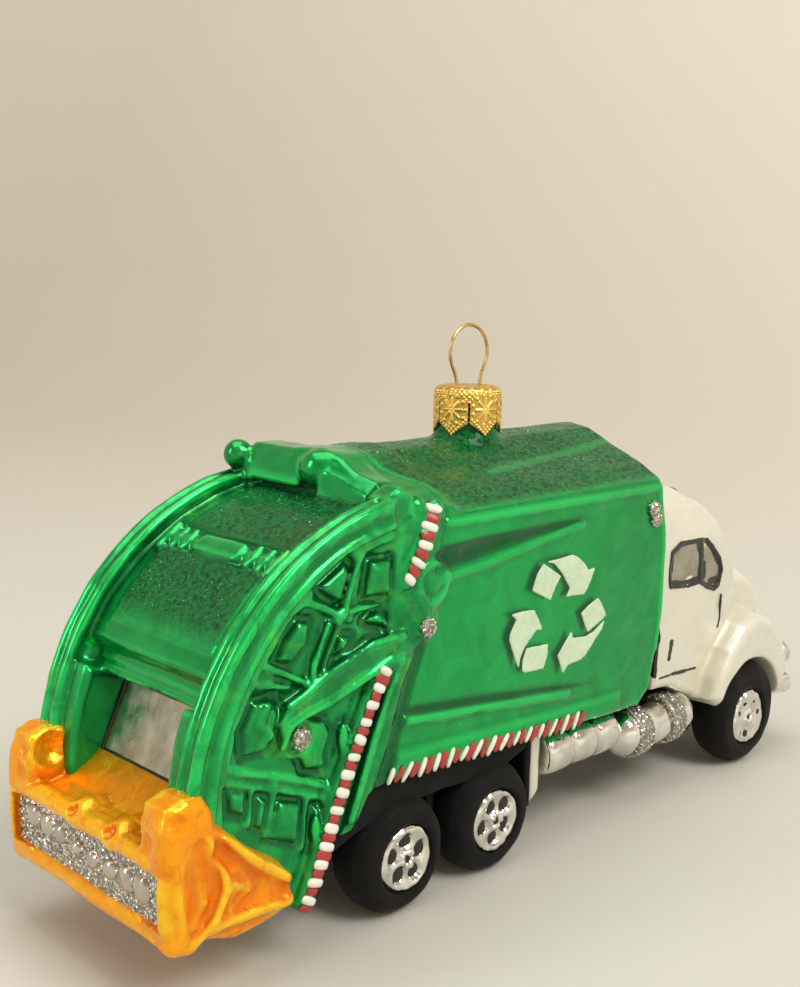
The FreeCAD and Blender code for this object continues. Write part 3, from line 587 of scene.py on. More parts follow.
def arc_band(r0, r1, y0, y1, start, end, radius=0.6):
    """Part of a ring about the drum's axis, square in section."""
    a0, a1 = math.radians(start), math.radians(end)
    middle, half = (r0 + r1) / 2, (r1 - r0) / 2
    ym, yh = (y0 + y1) / 2, (y1 - y0) / 2

    def distance(x, y, z):
        u, v = DRUM_X - x, z - DRUM_Z
        ring = np.sqrt(u * u + v * v)
        angle = np.arctan2(v, u)
        past = np.maximum(a0 - angle, angle - a1) * ring
        return rounded(np.maximum(np.abs(ring - middle) - half, past), np.abs(y - ym) - yh, radius)

    return Solid(distance, (DRUM_X - r1, y0, DRUM_Z - r1), (DRUM_X + r1, y1, DRUM_Z + r1))


def cross_rod(degrees, ring, half, radius, at=0.0):
    """A rod lying across the tail."""
    x, z = on_drum(degrees, ring)
    return rod((x, at - half, z), (x, at + half, z), radius)


TAIL_SIDE = [
    (10.0, 54.0), (-2.0, 54.4), (-8.0, 53.0), (-14.0, 50.6), (-20.0, 46.8), (-25.0, 42.0), (-29.0, 36.0),
    (-31.2, 30.0), (-31.8, 24.0), (-31.0, 18.5), (-26.0, 15.5), (-21.0, 13.0), (-19.0, 7.6), (-17.2, 7.2),
    (-14.6, 12.2), (-12.4, 15.2), (-8.6, 15.0), (-7.0, 18.4), (0.0, 19.3), (10.0, 19.0),
]
# Painted shade on the body's side, in bands along its grooves and creases: each point with half the band's width, and
# each band with its depth of colour.
PAINTED_SHADE_LINES = [
    ([(2.0, 36.4, 1.3), (-0.2, 31.3, 1.3), (-1.7, 27.0, 1.3), (-3.4, 22.1, 1.3), (-4.6, 19.6, 1.2)], 0.7),
    ([(6.5, 47.5, 1.9), (14.0, 48.0, 1.6), (22.0, 48.4, 1.15), (30.0, 48.8, 0.8), (38.6, 49.1, 0.1)], 0.9),
    ([(0.0, 28.2, 0.8), (14.0, 26.5, 0.75), (33.0, 24.1, 0.6), (41.0, 23.1, 0.1)], 0.85),
]
# Two glitter dots on the tail's side, and the line that its striped column follows.
TOP_DOT = (1.6, 16.9, 39.4)
LOW_DOT = (-18.5, 16.0, 29.4)
STRIPE_COLUMN = [(-3.4, 36.4), (-6.8, 31.6), (-9.6, 26.2), (-12.2, 20.6), (-14.6, 14.2), (-17.4, 8.0)]


def tail_side_relief():
    """The packer gear on each side of the tail: grooves, broad pillows, narrow ridges, and what is pressed in."""
    outlines = [
        ([(-28.4, 25.4), (-25.8, 24.5), (-26.0, 21.6), (-28.2, 22.7)], 16.5),
        ([(-23.8, 23.0), (-22.6, 22.6), (-23.4, 19.2), (-24.6, 19.8)], 16.4),
        ([(-21.0, 21.9), (-17.7, 20.8), (-18.3, 15.9), (-22.6, 17.8), (-21.8, 20.4)], 16.7),
        ([(-15.4, 19.5), (-14.2, 19.0), (-15.2, 14.4), (-16.3, 14.8)], 16.4),
        (
            [(-24.8, 34.9), (-22.3, 34.9), (-20.9, 33.2), (-21.6, 30.7), (-22.9, 28.6), (-26.2, 28.9), (-26.4, 32.0)],
            16.5,
        ),
        (
            [
                (-16.4, 30.9), (-14.2, 30.5), (-13.1, 28.5), (-14.1, 26.1), (-13.9, 24.3), (-17.0, 24.9),
                (-17.8, 26.7), (-16.4, 28.1),
            ],
            16.8,
        ),
        ([(-18.1, 43.4), (-16.4, 42.9), (-16.9, 40.4), (-19.2, 38.5), (-21.3, 39.2), (-20.1, 41.4)], 16.7),
        ([(-15.0, 46.9), (-10.6, 49.3), (-10.0, 47.8), (-11.5, 44.5), (-13.8, 45.9)], 16.6),
        ([(-6.7, 48.8), (-3.4, 48.7), (-3.2, 44.2), (-7.4, 44.6)], 16.8),
        ([(-11.6, 40.3), (-9.5, 39.8), (-11.0, 38.5), (-12.2, 38.1)], 16.7),
        ([(-7.3, 41.4), (-5.2, 42.4), (-3.4, 40.0)], 16.8),
    ]
    grooves = [path([(x, z, 16.25) for x, z in points + points[:1]], 0.8) for points, _ in outlines]
    pillows = [plate(points, 14.0, face, 1.0) for points, face in outlines]
    pillows += [
        plate([(2.4, 51.4), (5.4, 51.2), (5.6, 48.4), (2.6, 47.8)], 14.0, 16.5, 1.0),
        # the arm between its two bosses, and the fin in front of the striped column
        plate(
            [
                (1.0, 41.6), (-2.0, 38.9), (-6.7, 38.6), (-10.9, 37.2), (-14.4, 36.1), (-16.7, 34.9), (-20.0, 33.7),
                (-21.2, 31.6), (-20.8, 29.8), (-19.6, 31.1), (-17.2, 31.9), (-13.8, 32.5), (-9.7, 33.8), (-6.0, 34.9),
                (-3.0, 35.4), (1.6, 36.8),
            ],
            14.0, 16.9, 0.5,
        ),
        plate(
            [
                (-1.6, 35.4), (0.6, 35.4), (-1.6, 29.5), (-3.8, 22.7), (-4.4, 19.4), (-6.9, 18.6), (-8.3, 16.2),
                (-9.7, 14.7), (-11.5, 14.6), (-9.6, 18.9), (-6.3, 26.6),
            ],
            14.0, 17.0, 0.9,
        ),
        rod((1.6, 14.0, 40.2), (1.6, 14.2, 40.2), 3.9, 3.4),
        egg((2.0, 15.9, 39.5), (2.7, 2.1, 2.6)),
        egg((-1.2, 15.6, 42.0), (2.2, 1.5, 1.7)),
        rod((3.9, 14.0, 44.5), (3.9, 14.6, 44.5), 3.3, 2.6),
        rod((-18.4, 14.0, 29.2), (-18.4, 14.6, 29.2), 2.4, 1.8),
    ]
    lines = (
        ([(-28.5, 27.9), (-24.9, 26.3), (-21.1, 25.0), (-16.6, 23.1), (-13.1, 21.4)], 15.9, 0.42),
        ([(-28.7, 26.1), (-24.9, 24.7), (-21.1, 23.4), (-17.2, 21.6), (-13.7, 20.1)], 15.8, 0.36),
        ([(-24.9, 24.5), (-25.4, 20.2)], 15.8, 0.3),
        ([(-21.6, 25.4), (-21.9, 22.3), (-23.0, 18.3)], 15.95, 0.4),
        ([(-16.6, 20.9), (-17.1, 14.8)], 15.8, 0.34),
        ([(-13.6, 42.2), (-14.7, 39.9), (-15.8, 37.9), (-16.1, 35.5)], 16.4, 0.4),
        ([(-11.8, 42.5), (-13.0, 40.0), (-14.1, 38.0), (-14.7, 36.3)], 16.3, 0.38),
        ([(-23.2, 39.0), (-20.3, 37.5), (-16.7, 35.4)], 16.1, 0.42),
        ([(-24.8, 37.2), (-22.2, 36.4), (-19.5, 35.6)], 16.0, 0.36),
        ([(-16.7, 45.4), (-14.2, 44.3), (-11.9, 43.0), (-9.8, 42.2)], 16.2, 0.4),
        ([(-8.4, 50.1), (-9.8, 47.2), (-11.0, 43.7), (-12.4, 42.2)], 16.4, 0.44),
        ([(-11.9, 43.0), (-8.6, 43.3), (-5.5, 43.2)], 16.2, 0.4),
        ([(-23.0, 34.2), (-24.0, 32.2), (-22.6, 30.6)], 16.5, 0.4),
        ([(-1.6, 38.8), (-6.7, 38.6), (-10.9, 37.2), (-14.4, 36.1), (-16.7, 34.9), (-20.0, 33.7)], 16.9, 0.38),
        (
            [(-3.0, 35.6), (-6.0, 34.9), (-9.7, 33.8), (-13.8, 32.5), (-17.2, 31.9), (-19.8, 31.0), (-21.0, 28.8)],
            16.9, 0.42,
        ),
        ([(-1.9, 35.7), (-4.1, 31.8), (-6.3, 27.0), (-8.3, 21.7), (-10.3, 16.6)], 17.1, 0.55),
        (STRIPE_COLUMN, 16.0, 1.4),
    )
    ridges = [path([(x, z, out) for x, z in points], radius) for points, out, radius in lines]
    ridges += [
        path([(5.0, 54.0, 15.6), (2.6, 50.6, 16.2), (-1.2, 45.6, 16.2)], 1.3),
        hoop(3.9, 44.5, 2.6, 16.6, 0.5, -180.0, 180.0),
        hoop(-18.4, 29.2, 2.2, 16.1, 0.34, -180.0, 180.0),
        egg((-11.2, 16.5, 27.4), (0.75, 0.6, 1.9)),
        egg((-15.6, 16.5, 17.0), (0.7, 0.6, 1.7)),
        egg(LOW_DOT, (1.5, 1.3, 1.5)),
        egg(TOP_DOT, (1.6, 1.2, 1.6)),
    ]
    pressed = [
        path([(-10.5, 42.3, 16.9), (-7.9, 41.8, 16.9), (-5.7, 40.6, 17.0)], 0.5),
        path([(-12.8, 41.8, 16.5), (-13.9, 39.9, 16.5), (-15.1, 37.4, 16.5)], 0.35),
        path([(0.4, 37.8, 17.6), (-2.5, 37.1, 17.5), (-5.9, 36.4, 17.4), (-9.8, 35.3, 17.3)], 0.4),
        path([(1.6, 35.9, 17.6), (-0.6, 31.3, 17.6), (-2.2, 27.0, 17.6), (-4.1, 22.1, 17.6), (-5.9, 17.9, 17.6)], 1.1),
    ]
    return [[mirrored(one) for one in group] for group in (grooves, pillows, ridges, pressed)]


def green_form():
    """The whole green glass of body and tail, before it is divided."""
    roof = [
        (-16.8, 15.0), (-16.8, 51.4), (-16.2, 53.0), (-13.0, 55.0), (-7.9, 57.2), (-6.0, 58.4), (-3.4, 59.9),
        (0.0, 60.4),
    ]
    profile = [
        (-6.0, 19.4), (0.0, 18.9), (52.0, 16.7), (54.6, 18.8), (56.3, 25.1), (57.1, 33.2), (57.2, 39.7),
        (56.9, 44.6), (55.6, 52.2), (54.6, 58.0), (53.0, 61.0), (-1.0, 61.0),
    ]
    box = within(section(even(roof), -8.0, 57.4, 0.5), plate(profile, -16.8, 16.8, 0.9), 0.8)
    low_crease = mirrored(path([(-1.0, 28.5, 17.25), (14.0, 26.7, 17.25), (33.0, 24.2, 17.3), (41.0, 23.2, 17.6)], 0.8))
    low_bead = mirrored(path([(-0.6, 27.0, 16.6), (14.0, 25.4, 16.6), (33.0, 23.0, 16.4)], 0.5))
    high_groove = mirrored(rod((5.6, 18.3, 47.1), (42.0, 17.6, 49.6), 2.4, 0.9))
    high_bead = mirrored(path([(5.6, 44.6, 16.4), (16.8, 45.9, 16.4), (35.0, 48.4, 16.3)], 0.42))
    skirt = mirrored(plate([(-3.4, 19.8), (46.0, 17.5), (46.0, 20.2), (-2.4, 23.0)], 15.0, 17.15, 0.6))
    crest = [(6.5, 52.1, 16.5), (54.6, 51.7, 16.5), (56.6, 44.0, 16.2), (56.6, 33.0, 16.2), (55.8, 25.5, 16.2)]
    crest = mirrored(path(crest, 0.36))
    corner = mirrored(rod((53.6, 16.3, 47.9), (54.4, 16.3, 47.6), 0.9))
    roof_bead = mirrored(path([(22.0, 9.9, 56.3), (33.0, 8.3, 57.1), (42.0, 7.8, 57.3), (54.0, 6.8, 57.9)], 0.55))
    box = carve(box, [low_crease, high_groove], 0.5)
    flat_side = plate(TAIL_SIDE, -15.85, 15.85, 0.8)
    drum = within(
        arc_band(2.0, 32.9, -12.9, 12.9, -8.0, 98.0, 0.5),
        plate([(-40, 15), (6, 15), (6, 60), (-40, 60)], -14, 14),
    )
    rails = [arc_band(31.4, 35.2, 13.5, 16.45, -4.0, 84.0, 0.9), arc_band(28.0, 32.0, 13.5, 15.85, -4.0, 84.0, 0.9)]
    rails = mirrored(join(rails, 0.3))
    flanks = mirrored(arc_band(28.0, 34.5, 10.2, 15.2, -6.0, 23.0, 0.9))
    rail_ridges = []
    for ring, y, radius in ((35.0, 16.2, 0.66), (32.4, 16.5, 0.5), (31.1, 16.1, 0.5), (35.0, 13.9, 0.6)):
        rail_ridges.append(mirrored(hoop(DRUM_X, DRUM_Z, ring, y, radius, -3.0, 82.0)))
    lower_panel = arc_band(30.0, 33.6, -11.2, 11.2, 34.2, 53.6, 0.8)
    upper_panel = arc_band(30.0, 33.5, -11.2, 11.2, 61.6, 93.0, 0.7)
    lip = cross_rod(30.6, 31.5, 11.6, 1.5)
    cove = cross_rod(25.6, 33.9, 12.0, 2.1)
    cove_rib = cross_rod(26.4, 31.6, 11.2, 0.6)
    hinge = [
        arc_band(31.0, 34.5, -4.9, 4.9, 54.6, 59.2, 1.0),
        mirrored(arc_band(31.0, 34.4, 6.0, 7.4, 53.8, 60.2, 0.7)),
        mirrored(arc_band(31.0, 34.3, 8.3, 9.6, 53.6, 60.6, 0.7)),
        mirrored(arc_band(31.0, 34.4, 10.4, 11.9, 52.6, 61.0, 0.8)),
        cross_rod(57.0, 33.0, 10.6, 1.2),
    ]
    pocket = plate([(-36.0, 19.0), (-28.6, 19.8), (-24.2, 32.2), (-31.0, 34.0)], -10.1, 10.1, 0.3)
    near_bar = plate([(-3.4, 54.2), (-2.9, 58.4), (-1.2, 59.9), (1.8, 59.8), (3.6, 56.0)], -11.8, -1.6, 0.8)
    fold = section(
        [
            (-16.2, 50.0), (-16.0, 53.2), (-12.8, 55.5), (-7.8, 57.7), (-4.4, 59.6), (0.0, 60.5), (4.4, 60.2),
            (7.8, 58.0), (12.8, 56.4), (16.0, 53.6), (16.2, 50.0),
        ],
        -1.6, 9.4, 1.3,
    )
    bar = [
        plate([(-3.4, 55.2), (-2.8, 59.0), (-1.4, 60.2), (2.4, 60.1), (4.5, 57.0)], 1.6, 13.6, 0.8),
        Solid(lambda x, y, z: near_bar(x, y, z + 0.26 * np.maximum(-y - 1.6, 0.0)), near_bar.low - 3.0, near_bar.high),
        plate([(-3.9, 51.6), (-3.8, 56.2), (-1.0, 57.4), (1.0, 56.4), (1.4, 51.6)], -15.9, -12.2, 0.7),
        plate([(-3.2, 51.6), (-3.0, 57.6), (1.0, 57.8), (1.4, 51.6)], 11.6, 16.0, 0.9),
        egg((-3.0, 15.0, 58.3), (2.1, 2.1, 2.1)),
        egg((-1.3, -0.4, 58.0), (2.5, 2.8, 2.5)),
        egg((2.0, -14.9, 54.2), (1.6, 1.7, 1.9)),
        egg((2.0, 14.9, 54.6), (1.6, 1.7, 1.9)),
        fold,
    ]
    neck = turned([(0, 56.0), (6.0, 56.0), (5.0, 60.0), (4.3, 61.4), (4.2, 66.8), (0, 66.8)], 2, (NECK_X, 0.0), 0.1)
    floor = float(WIRE[0][2]) - 1.0
    bore = turned([(0, floor), (3.4, floor), (3.4, 68.0), (0, 68.0)], 2, (NECK_X, 0.0), 0.1)
    grooves, pillows, ridges, pressed = tail_side_relief()
    whole = join([flat_side, drum, rails], 0.9)
    whole = carve(whole, [pocket, cove], 0.7)
    whole = join([whole, cove_rib, lip, flanks, lower_panel, upper_panel] + rail_ridges + hinge, 0.7)
    whole = join([carve(whole, grooves, 0.8)] + pillows, 0.7)
    whole = join([whole, box], 0.8)
    whole = join([whole] + ridges, 0.65)
    whole = carve(join([whole, skirt, crest, low_bead, high_bead, corner, roof_bead, neck] + bar, 0.8), pressed, 0.5)
    whole = carve(whole, [bore], 0.15)
    return boxed(rippled(whole, sizes().ripple))


def amber_form():
    """The hopper: a tub between two swollen cheeks."""
    tub = plate(
        [
            (-37.2, 9.6), (-37.2, 18.2), (-36.6, 19.6), (-33.6, 20.0), (-29.0, 23.3), (-25.0, 23.6), (-21.0, 14.0),
            (-20.2, 9.4), (-28.4, 7.8), (-34.4, 8.4),
        ],
        -13.4, 13.4, 0.7,
    )
    cheek = plate(
        [
            (-38.2, 11.6), (-38.0, 17.4), (-37.2, 22.2), (-35.0, 24.4), (-32.4, 23.8), (-28.4, 20.4), (-25.4, 17.6),
            (-21.4, 14.9), (-19.7, 12.2), (-20.0, 9.2), (-22.0, 8.2), (-28.4, 7.5), (-32.9, 8.8), (-35.2, 8.6),
        ],
        12.4, 17.7, 1.3,
    )
    out = [
        plate(
            [(-38.0, 19.0), (-38.0, 23.6), (-37.2, 25.7), (-35.0, 26.5), (-32.6, 26.2), (-31.0, 23.6), (-31.6, 19.5)],
            12.0, 17.7, 1.25,
        ),
        path([(-36.3, 22.5, 16.2), (-36.5, 16.0, 16.4), (-35.8, 9.8, 16.3)], 1.7),
        path([(-36.4, 21.6, 17.7), (-36.6, 15.2, 17.9), (-35.6, 9.8, 17.7)], 0.4),
        path(
            [(-32.4, 20.9, 17.6), (-30.5, 17.4, 18.1), (-30.2, 14.7, 18.2), (-31.8, 11.6, 18.1), (-34.9, 9.2, 17.7)],
            0.62,
        ),
        path([(-29.9, 16.4, 17.7), (-27.9, 16.3, 17.7), (-26.6, 14.0, 17.8), (-29.6, 14.9, 17.8)], 0.4),
        path([(-28.9, 14.8, 17.7), (-29.6, 12.0, 17.8), (-26.4, 13.6, 17.8)], 0.35),
        path([(-20.8, 10.0, 17.7), (-26.1, 10.5, 17.9), (-31.9, 10.5, 17.9)], 0.65),
        path([(-21.0, 12.9, 17.7), (-25.2, 16.0, 17.7), (-29.8, 20.2, 17.6)], 0.7),
        path([(-33.8, 17.6, 17.6), (-33.2, 13.8, 17.7), (-34.4, 11.8, 17.6)], 0.5),
    ]
    pressed = [
        path([(-30.9, 19.4, 18.4), (-27.0, 14.9, 18.6), (-21.6, 11.1, 18.5)], 0.8),
        path([(-33.6, 20.6, 18.5), (-33.9, 12.6, 18.6)], 0.7),
        path([(-28.6, 12.6, 18.6), (-24.4, 12.2, 18.6)], 0.8),
        egg((-34.9, 11.5, 24.0), (2.1, 1.7, 2.1)),
        egg((-38.5, 13.4, 24.2), (0.9, 0.8, 0.9)),
        egg((-38.7, 13.9, 21.3), (0.9, 0.8, 1.0)),
        egg((-36.6, 18.2, 24.5), (1.0, 0.8, 0.8)),
    ]
    rim = rod((-37.2, -13.4, 19.0), (-37.2, 13.4, 19.0), 1.15)
    foot = rod((-36.7, -17.0, 10.0), (-36.7, 17.0, 10.0), 1.15)
    panel = section(even([(-16.2, 11.4), (-16.2, 17.8)]), -40.0, -37.2, 0.2)
    middle_x = sum(corner[0] for corner in box_mm("hopper_knobs", ORIGIN)) / 2
    knobs, dimples = [], []
    for y in (1.7, -6.3):
        knobs.append(egg((middle_x - 0.1, y, 19.0), (2.3, 1.9, 2.0)))
        knobs.append(egg((middle_x - 1.2, y - 0.3, 18.2), (1.3, 1.5, 1.3)))
        knobs.append(rod((middle_x, y, 19.6), (-33.4, y + 0.2, 19.4), 1.0, 0.6))
        dimples.append(egg((middle_x - 2.5, y + 0.2, 20.0), (0.9, 0.8, 0.7)))
    whole = join([tub, mirrored(cheek), rim, foot] + knobs, 0.9)
    whole = join([whole] + [mirrored(one) for one in out], 0.9)
    whole = carve(whole, [mirrored(one) for one in pressed], 0.9)
    whole = carve(whole, dimples, 0.5)
    whole = carve(whole, [panel], 0.25)
    return boxed(rippled(whole, sizes().ripple * 1.6))


def arch(radius, y0, y1):
    """The space a front tyre turns in."""
    outline = [(0, y0), (radius, y0), (radius, y1), (0, y1)]
    return mirrored(turned(outline, 1, (FRONT_X, FRONT_RADIUS), 0.0))


PANES = (
    [(61.2, 34.5), (61.0, 37.3), (61.5, 39.9), (64.1, 41.0), (69.7, 40.9), (69.7, 37.5), (69.5, 34.0), (66.3, 33.8)],
    [
        (70.6, 40.7), (71.6, 40.6), (73.1, 39.4), (75.6, 37.0), (76.4, 34.9), (75.6, 32.4), (74.4, 32.0),
        (72.3, 32.7), (70.2, 33.8),
    ],
)


def white_form():
    """The cab with its hood, doors and front fenders."""
    side = [
        (57.7, 17.6), (57.7, 50.4), (59.4, 51.7), (62.6, 51.7), (66.4, 49.9), (72.2, 46.6), (76.3, 43.5), (78.2, 39.9),
        (80.4, 35.8), (82.0, 30.0), (80.0, 14.0), (70.0, 13.6), (62.0, 17.2),
    ]
    across = [
        (-15.5, 12.0), (-15.6, 34.0), (-15.2, 41.0), (-13.6, 46.6), (-11.0, 50.0), (-6.0, 51.4), (0.0, 51.8),
    ]
    cabin = within(plate(side, -15.7, 15.7, 1.2), section(even(across), 57.0, 84.0, 0.8), 1.4)
    hood = plate(
        [
            (74.0, 14.0), (74.0, 36.4), (80.6, 36.0), (88.0, 33.8), (93.4, 31.5), (96.3, 28.9), (97.7, 25.6),
            (98.6, 22.0), (98.4, 13.4), (90.0, 13.0),
        ],
        -9.6, 9.6, 2.6,
    )
    shoulder = plate(
        [
            (74.0, 14.0), (74.0, 34.8), (80.6, 34.6), (87.0, 32.8), (91.2, 30.2), (93.4, 26.2), (94.4, 21.0),
            (92.0, 14.0),
        ],
        -13.8, 13.8, 2.4,
    )
    fender = mirrored(
        plate(
            [
                (70.6, 13.6), (71.8, 17.0), (75.0, 21.6), (79.0, 25.3), (83.4, 26.8), (88.6, 24.8), (92.8, 20.9),
                (94.7, 17.0), (94.4, 13.2), (92.6, 10.2), (88.0, 9.0), (74.0, 10.6),
            ],
            8.0, 19.3, 2.0,
        )
    )
    whole = join([cabin, join([hood, shoulder], 2.0)], 1.4)
    whole = carve(whole, [mirrored(path([(84.0, 27.4, 16.8), (74.2, 21.0, 17.4), (70.0, 14.6, 17.4)], 1.0))], 1.2)
    whole = join([whole, fender], 1.5)
    edge = [(59.2, 26.4, 15.9), (58.9, 20.2, 15.9), (69.9, 19.3, 15.9), (75.4, 25.4, 15.8), (76.6, 31.0, 15.6)]
    door_edge = mirrored(path(edge, 0.35))
    panes = mirrored(join([plate(PANES[0], 15.1, 17.0, 0.3), plate(PANES[1], 14.9, 17.0, 0.3)], 0.3))
    whole = carve(whole, [arch(FRONT_RADIUS + 0.75, 9.4, 23.0)], 0.5)
    whole = carve(whole, [door_edge, panes], 0.4)
    return boxed(rippled(whole, sizes().ripple * 1.3))


# ---------------------------------------------------------------- materials


class Graph:
    """Short hand for filling a node tree."""

    def __init__(self, tree):
        self.tree = tree
        self.tree.nodes.clear()

    def add(self, kind, inputs=None, **settings):
        """A node with its settings, and with what each input takes: a value or another node's socket."""
        node = self.tree.nodes.new(kind)
        for key, value in settings.items():
            setattr(node, key, value)
        for key, value in (inputs or {}).items():
            self.feed(node.inputs[key], value)
        return node

    def feed(self, socket, value):
        """Give a socket a value, or link another socket to it."""
        if isinstance(value, bpy.types.NodeSocket):
            self.tree.links.new(value, socket)
        else:
            socket.default_value = value


class Nodes(Graph):
    """One material's tree, with the few kinds of node that the finishes share."""

    def __init__(self, name, **values):
        self.material = bpy.data.materials.new(name)
        self.material.use_nodes = True
        super().__init__(self.material.node_tree)
        named = {key.replace("_", " "): value for key, value in values.items()}
        self.shader = self.add("ShaderNodeBsdfPrincipled", named)
        self.add("ShaderNodeOutputMaterial", {"Surface": self.shader.outputs[0]})
        self.place = self.add("ShaderNodeTexCoord").outputs["Object"]

    def noise(self, scale, detail=3.0, roughness=0.5, distortion=0.0):
        """Cloudy noise in the object's own space."""
        values = {"Vector": self.place, "Scale": scale, "Detail": detail}
        values.update(Roughness=roughness, Distortion=distortion)
        return self.add("ShaderNodeTexNoise", values).outputs["Fac"]

    def attribute(self, name):
        """A value kept at the mesh's points."""
        return self.add("ShaderNodeAttribute", attribute_name=name).outputs["Fac"]

    def spread(self, value, low, high, to_low=0.0, to_high=1.0):
        """A value's range from low to high, stretched to another range and held inside it."""
        values = {"Value": value, "From Min": low, "From Max": high, "To Min": to_low, "To Max": to_high}
        return self.add("ShaderNodeMapRange", values).outputs["Result"]

    def clouds(self, noise, low, high, to_low=0.0, to_high=1.0):
        """Noise with its range stretched."""
        return self.spread(self.noise(*noise), low, high, to_low, to_high)

    def blend(self, amount, first, second):
        """Mix two colours, each a colour or a socket."""
        first, second = (
            value if isinstance(value, bpy.types.NodeSocket) else (*value[:3], 1.0) for value in (first, second)
        )
        return self.add("ShaderNodeMix", {"Factor": amount, 6: first, 7: second}, data_type="RGBA").outputs[2]

    def mix(self, amount, first, second):
        """Mix two numbers, each a number or a socket."""
        return self.add("ShaderNodeMix", {"Factor": amount, 2: first, 3: second}, data_type="FLOAT").outputs[0]

    def math(self, operation, first, second):
        """A sum, difference or product of two numbers."""
        return self.add("ShaderNodeMath", {0: first, 1: second}, operation=operation).outputs[0]

    def bump(self, height, strength, distance, under=None):
        """Small relief, over other relief where that is given."""
        values = {"Height": height, "Strength": strength, "Distance": distance}
        if under:
            values["Normal"] = under
        return self.add("ShaderNodeBump", values).outputs["Normal"]

    def finish(self, colour, rough, normal=None):
        """Link what the shader shows, and give the material."""
        self.feed(self.shader.inputs["Base Color"], colour)
        self.feed(self.shader.inputs["Roughness"], rough)
        if normal:
            self.feed(self.shader.inputs["Normal"], normal)
        return self.material


def scaled(tint, share):
    """A colour made darker."""
    return [channel * share for channel in tint]


def lacquer(n, middle, light, deep, pool):
    """Colour of a lacquer that runs thin on ridges and pools in hollows, where a hollow as deep as pool is full."""
    base = n.blend(n.clouds((190.0, 4.0, 0.6, 0.8), 0.35, 0.72, 0.0, 0.4), middle, light)
    base = n.blend(n.spread(n.attribute("ridge"), 0.12, 0.42), base, light)
    base = n.blend(n.spread(n.attribute("hollow"), 0.02, pool, 0.0, 0.85), base, deep)
    return n.blend(n.clouds((900.0, 2.0, 0.5), 0.68, 0.78, 0.0, 0.35), base, deep)


def amber_lacquer(name, middle, light, deep, olive, rough):
    """Silvered glass under clear amber, streaked with red and turning olive where the olive attribute is high."""
    n = Nodes(name, Metallic=0.5, Specular_IOR_Level=0.3, Coat_Weight=0.22, Coat_Roughness=0.08, Coat_IOR=1.4, IOR=1.45)
    base = lacquer(n, middle, light, deep, 0.36)
    base = n.blend(n.clouds((230.0, 4.0, 0.65, 2.2), 0.54, 0.70, 0.0, 0.6), base, deep)
    turned_olive = n.math("MULTIPLY", n.attribute("olive"), n.clouds((110.0, 3.0, 0.6), 0.3, 0.6, 0.55, 1.0))
    gloss = n.clouds((260.0, 3.0), 0.3, 0.7, rough * 0.7, rough * 1.4)
    return n.finish(n.blend(turned_olive, base, olive), gloss, n.bump(n.noise(230.0, 3.0, 0.55, 0.9), 0.5, 0.0008))


def green_lacquer(name, middle, light, deep, rough):
    """Silvered glass under clear green, uneven over the relief, and darker where the shade attribute holds the sign's
    printed shadow and painted shade.

    Where the grit attribute is high the lacquer is strewn with fine glass grit."""
    n = Nodes(name, Specular_IOR_Level=0.3, Coat_Weight=0.4, Coat_Roughness=0.08, Coat_IOR=1.4, IOR=1.45)
    base = lacquer(n, middle, light, deep, 0.46)
    for noise, low, high, most, tint in (
        ((150.0, 3.0, 0.6, 1.5), 0.55, 0.72, 0.5, (0.10, 0.62, 0.045)),
        ((125.0, 4.0, 0.65, 1.1), 0.47, 0.62, 0.6, (0.0, 0.15, 0.035)),
    ):
        amount = n.math("MULTIPLY", n.clouds(noise, low, high, 0.0, most), n.attribute("relief"))
        base = n.blend(amount, base, tint)
    # Painted shade and the sign's printed shadow, both a darker deep green where the shade attribute is high.
    base = n.blend(n.attribute("shade"), base, scaled(deep, 0.8))
    grit = n.attribute("grit")
    grain = n.noise(1500.0, 4.0, 0.8)
    strewn = n.blend(n.spread(grain, 0.40, 0.54), scaled(deep, 0.3), scaled(middle, 0.66))
    strewn = n.blend(n.clouds((75.0, 3.0, 0.6), 0.5, 0.75, 0.0, 0.4), strewn, middle)
    strewn = n.blend(n.clouds((48.0, 3.0, 0.6), 0.58, 0.72, 0.0, 0.45), strewn, (0.035, 0.06, 0.004))
    n.feed(n.shader.inputs["Metallic"], n.mix(grit, 0.62, 0.35))
    gloss = n.clouds((260.0, 3.0), 0.3, 0.7, rough * 0.7, rough * 1.4)
    waves = n.bump(n.noise(140.0, 2.0, 0.5, 0.4), 0.35, 0.0006)
    return n.finish(
        n.blend(grit, base, strewn),
        n.mix(grit, gloss, n.spread(grain, 0.3, 0.7, 0.55, 0.3)),
        n.bump(n.math("MULTIPLY", grain, grit), 1.0, 0.0007, waves),
    )


def silvered(name, tint, rough, dent):
    """Bare silvered glass, wavy and bright."""
    n = Nodes(name, Metallic=1.0, Coat_Weight=0.2)
    return n.finish(
        n.blend(n.clouds((320.0, 4.0, 0.6, 0.5), 0.35, 0.7), scaled(tint, 0.7), tint),
        n.clouds((420.0, 3.0), 0.3, 0.7, rough * 0.6, rough * 1.7),
        n.bump(n.noise(300.0, 2.0, 0.5, 0.6), 0.5, dent),
    )


def brushed_paint(name, tint, shade, rough):
    """Thick paint put on with a small brush."""
    n = Nodes(name, Coat_Weight=0.25, Coat_Roughness=0.25)
    streak = n.noise(600.0, 3.0, 0.6, 1.2)
    return n.finish(
        n.blend(n.spread(streak, 0.35, 0.75, 0.0, 0.8), tint, shade),
        n.clouds((900.0, 3.0), 0.3, 0.7, rough * 0.8, rough * 1.25),
        n.bump(streak, 0.45, 0.00018),
    )


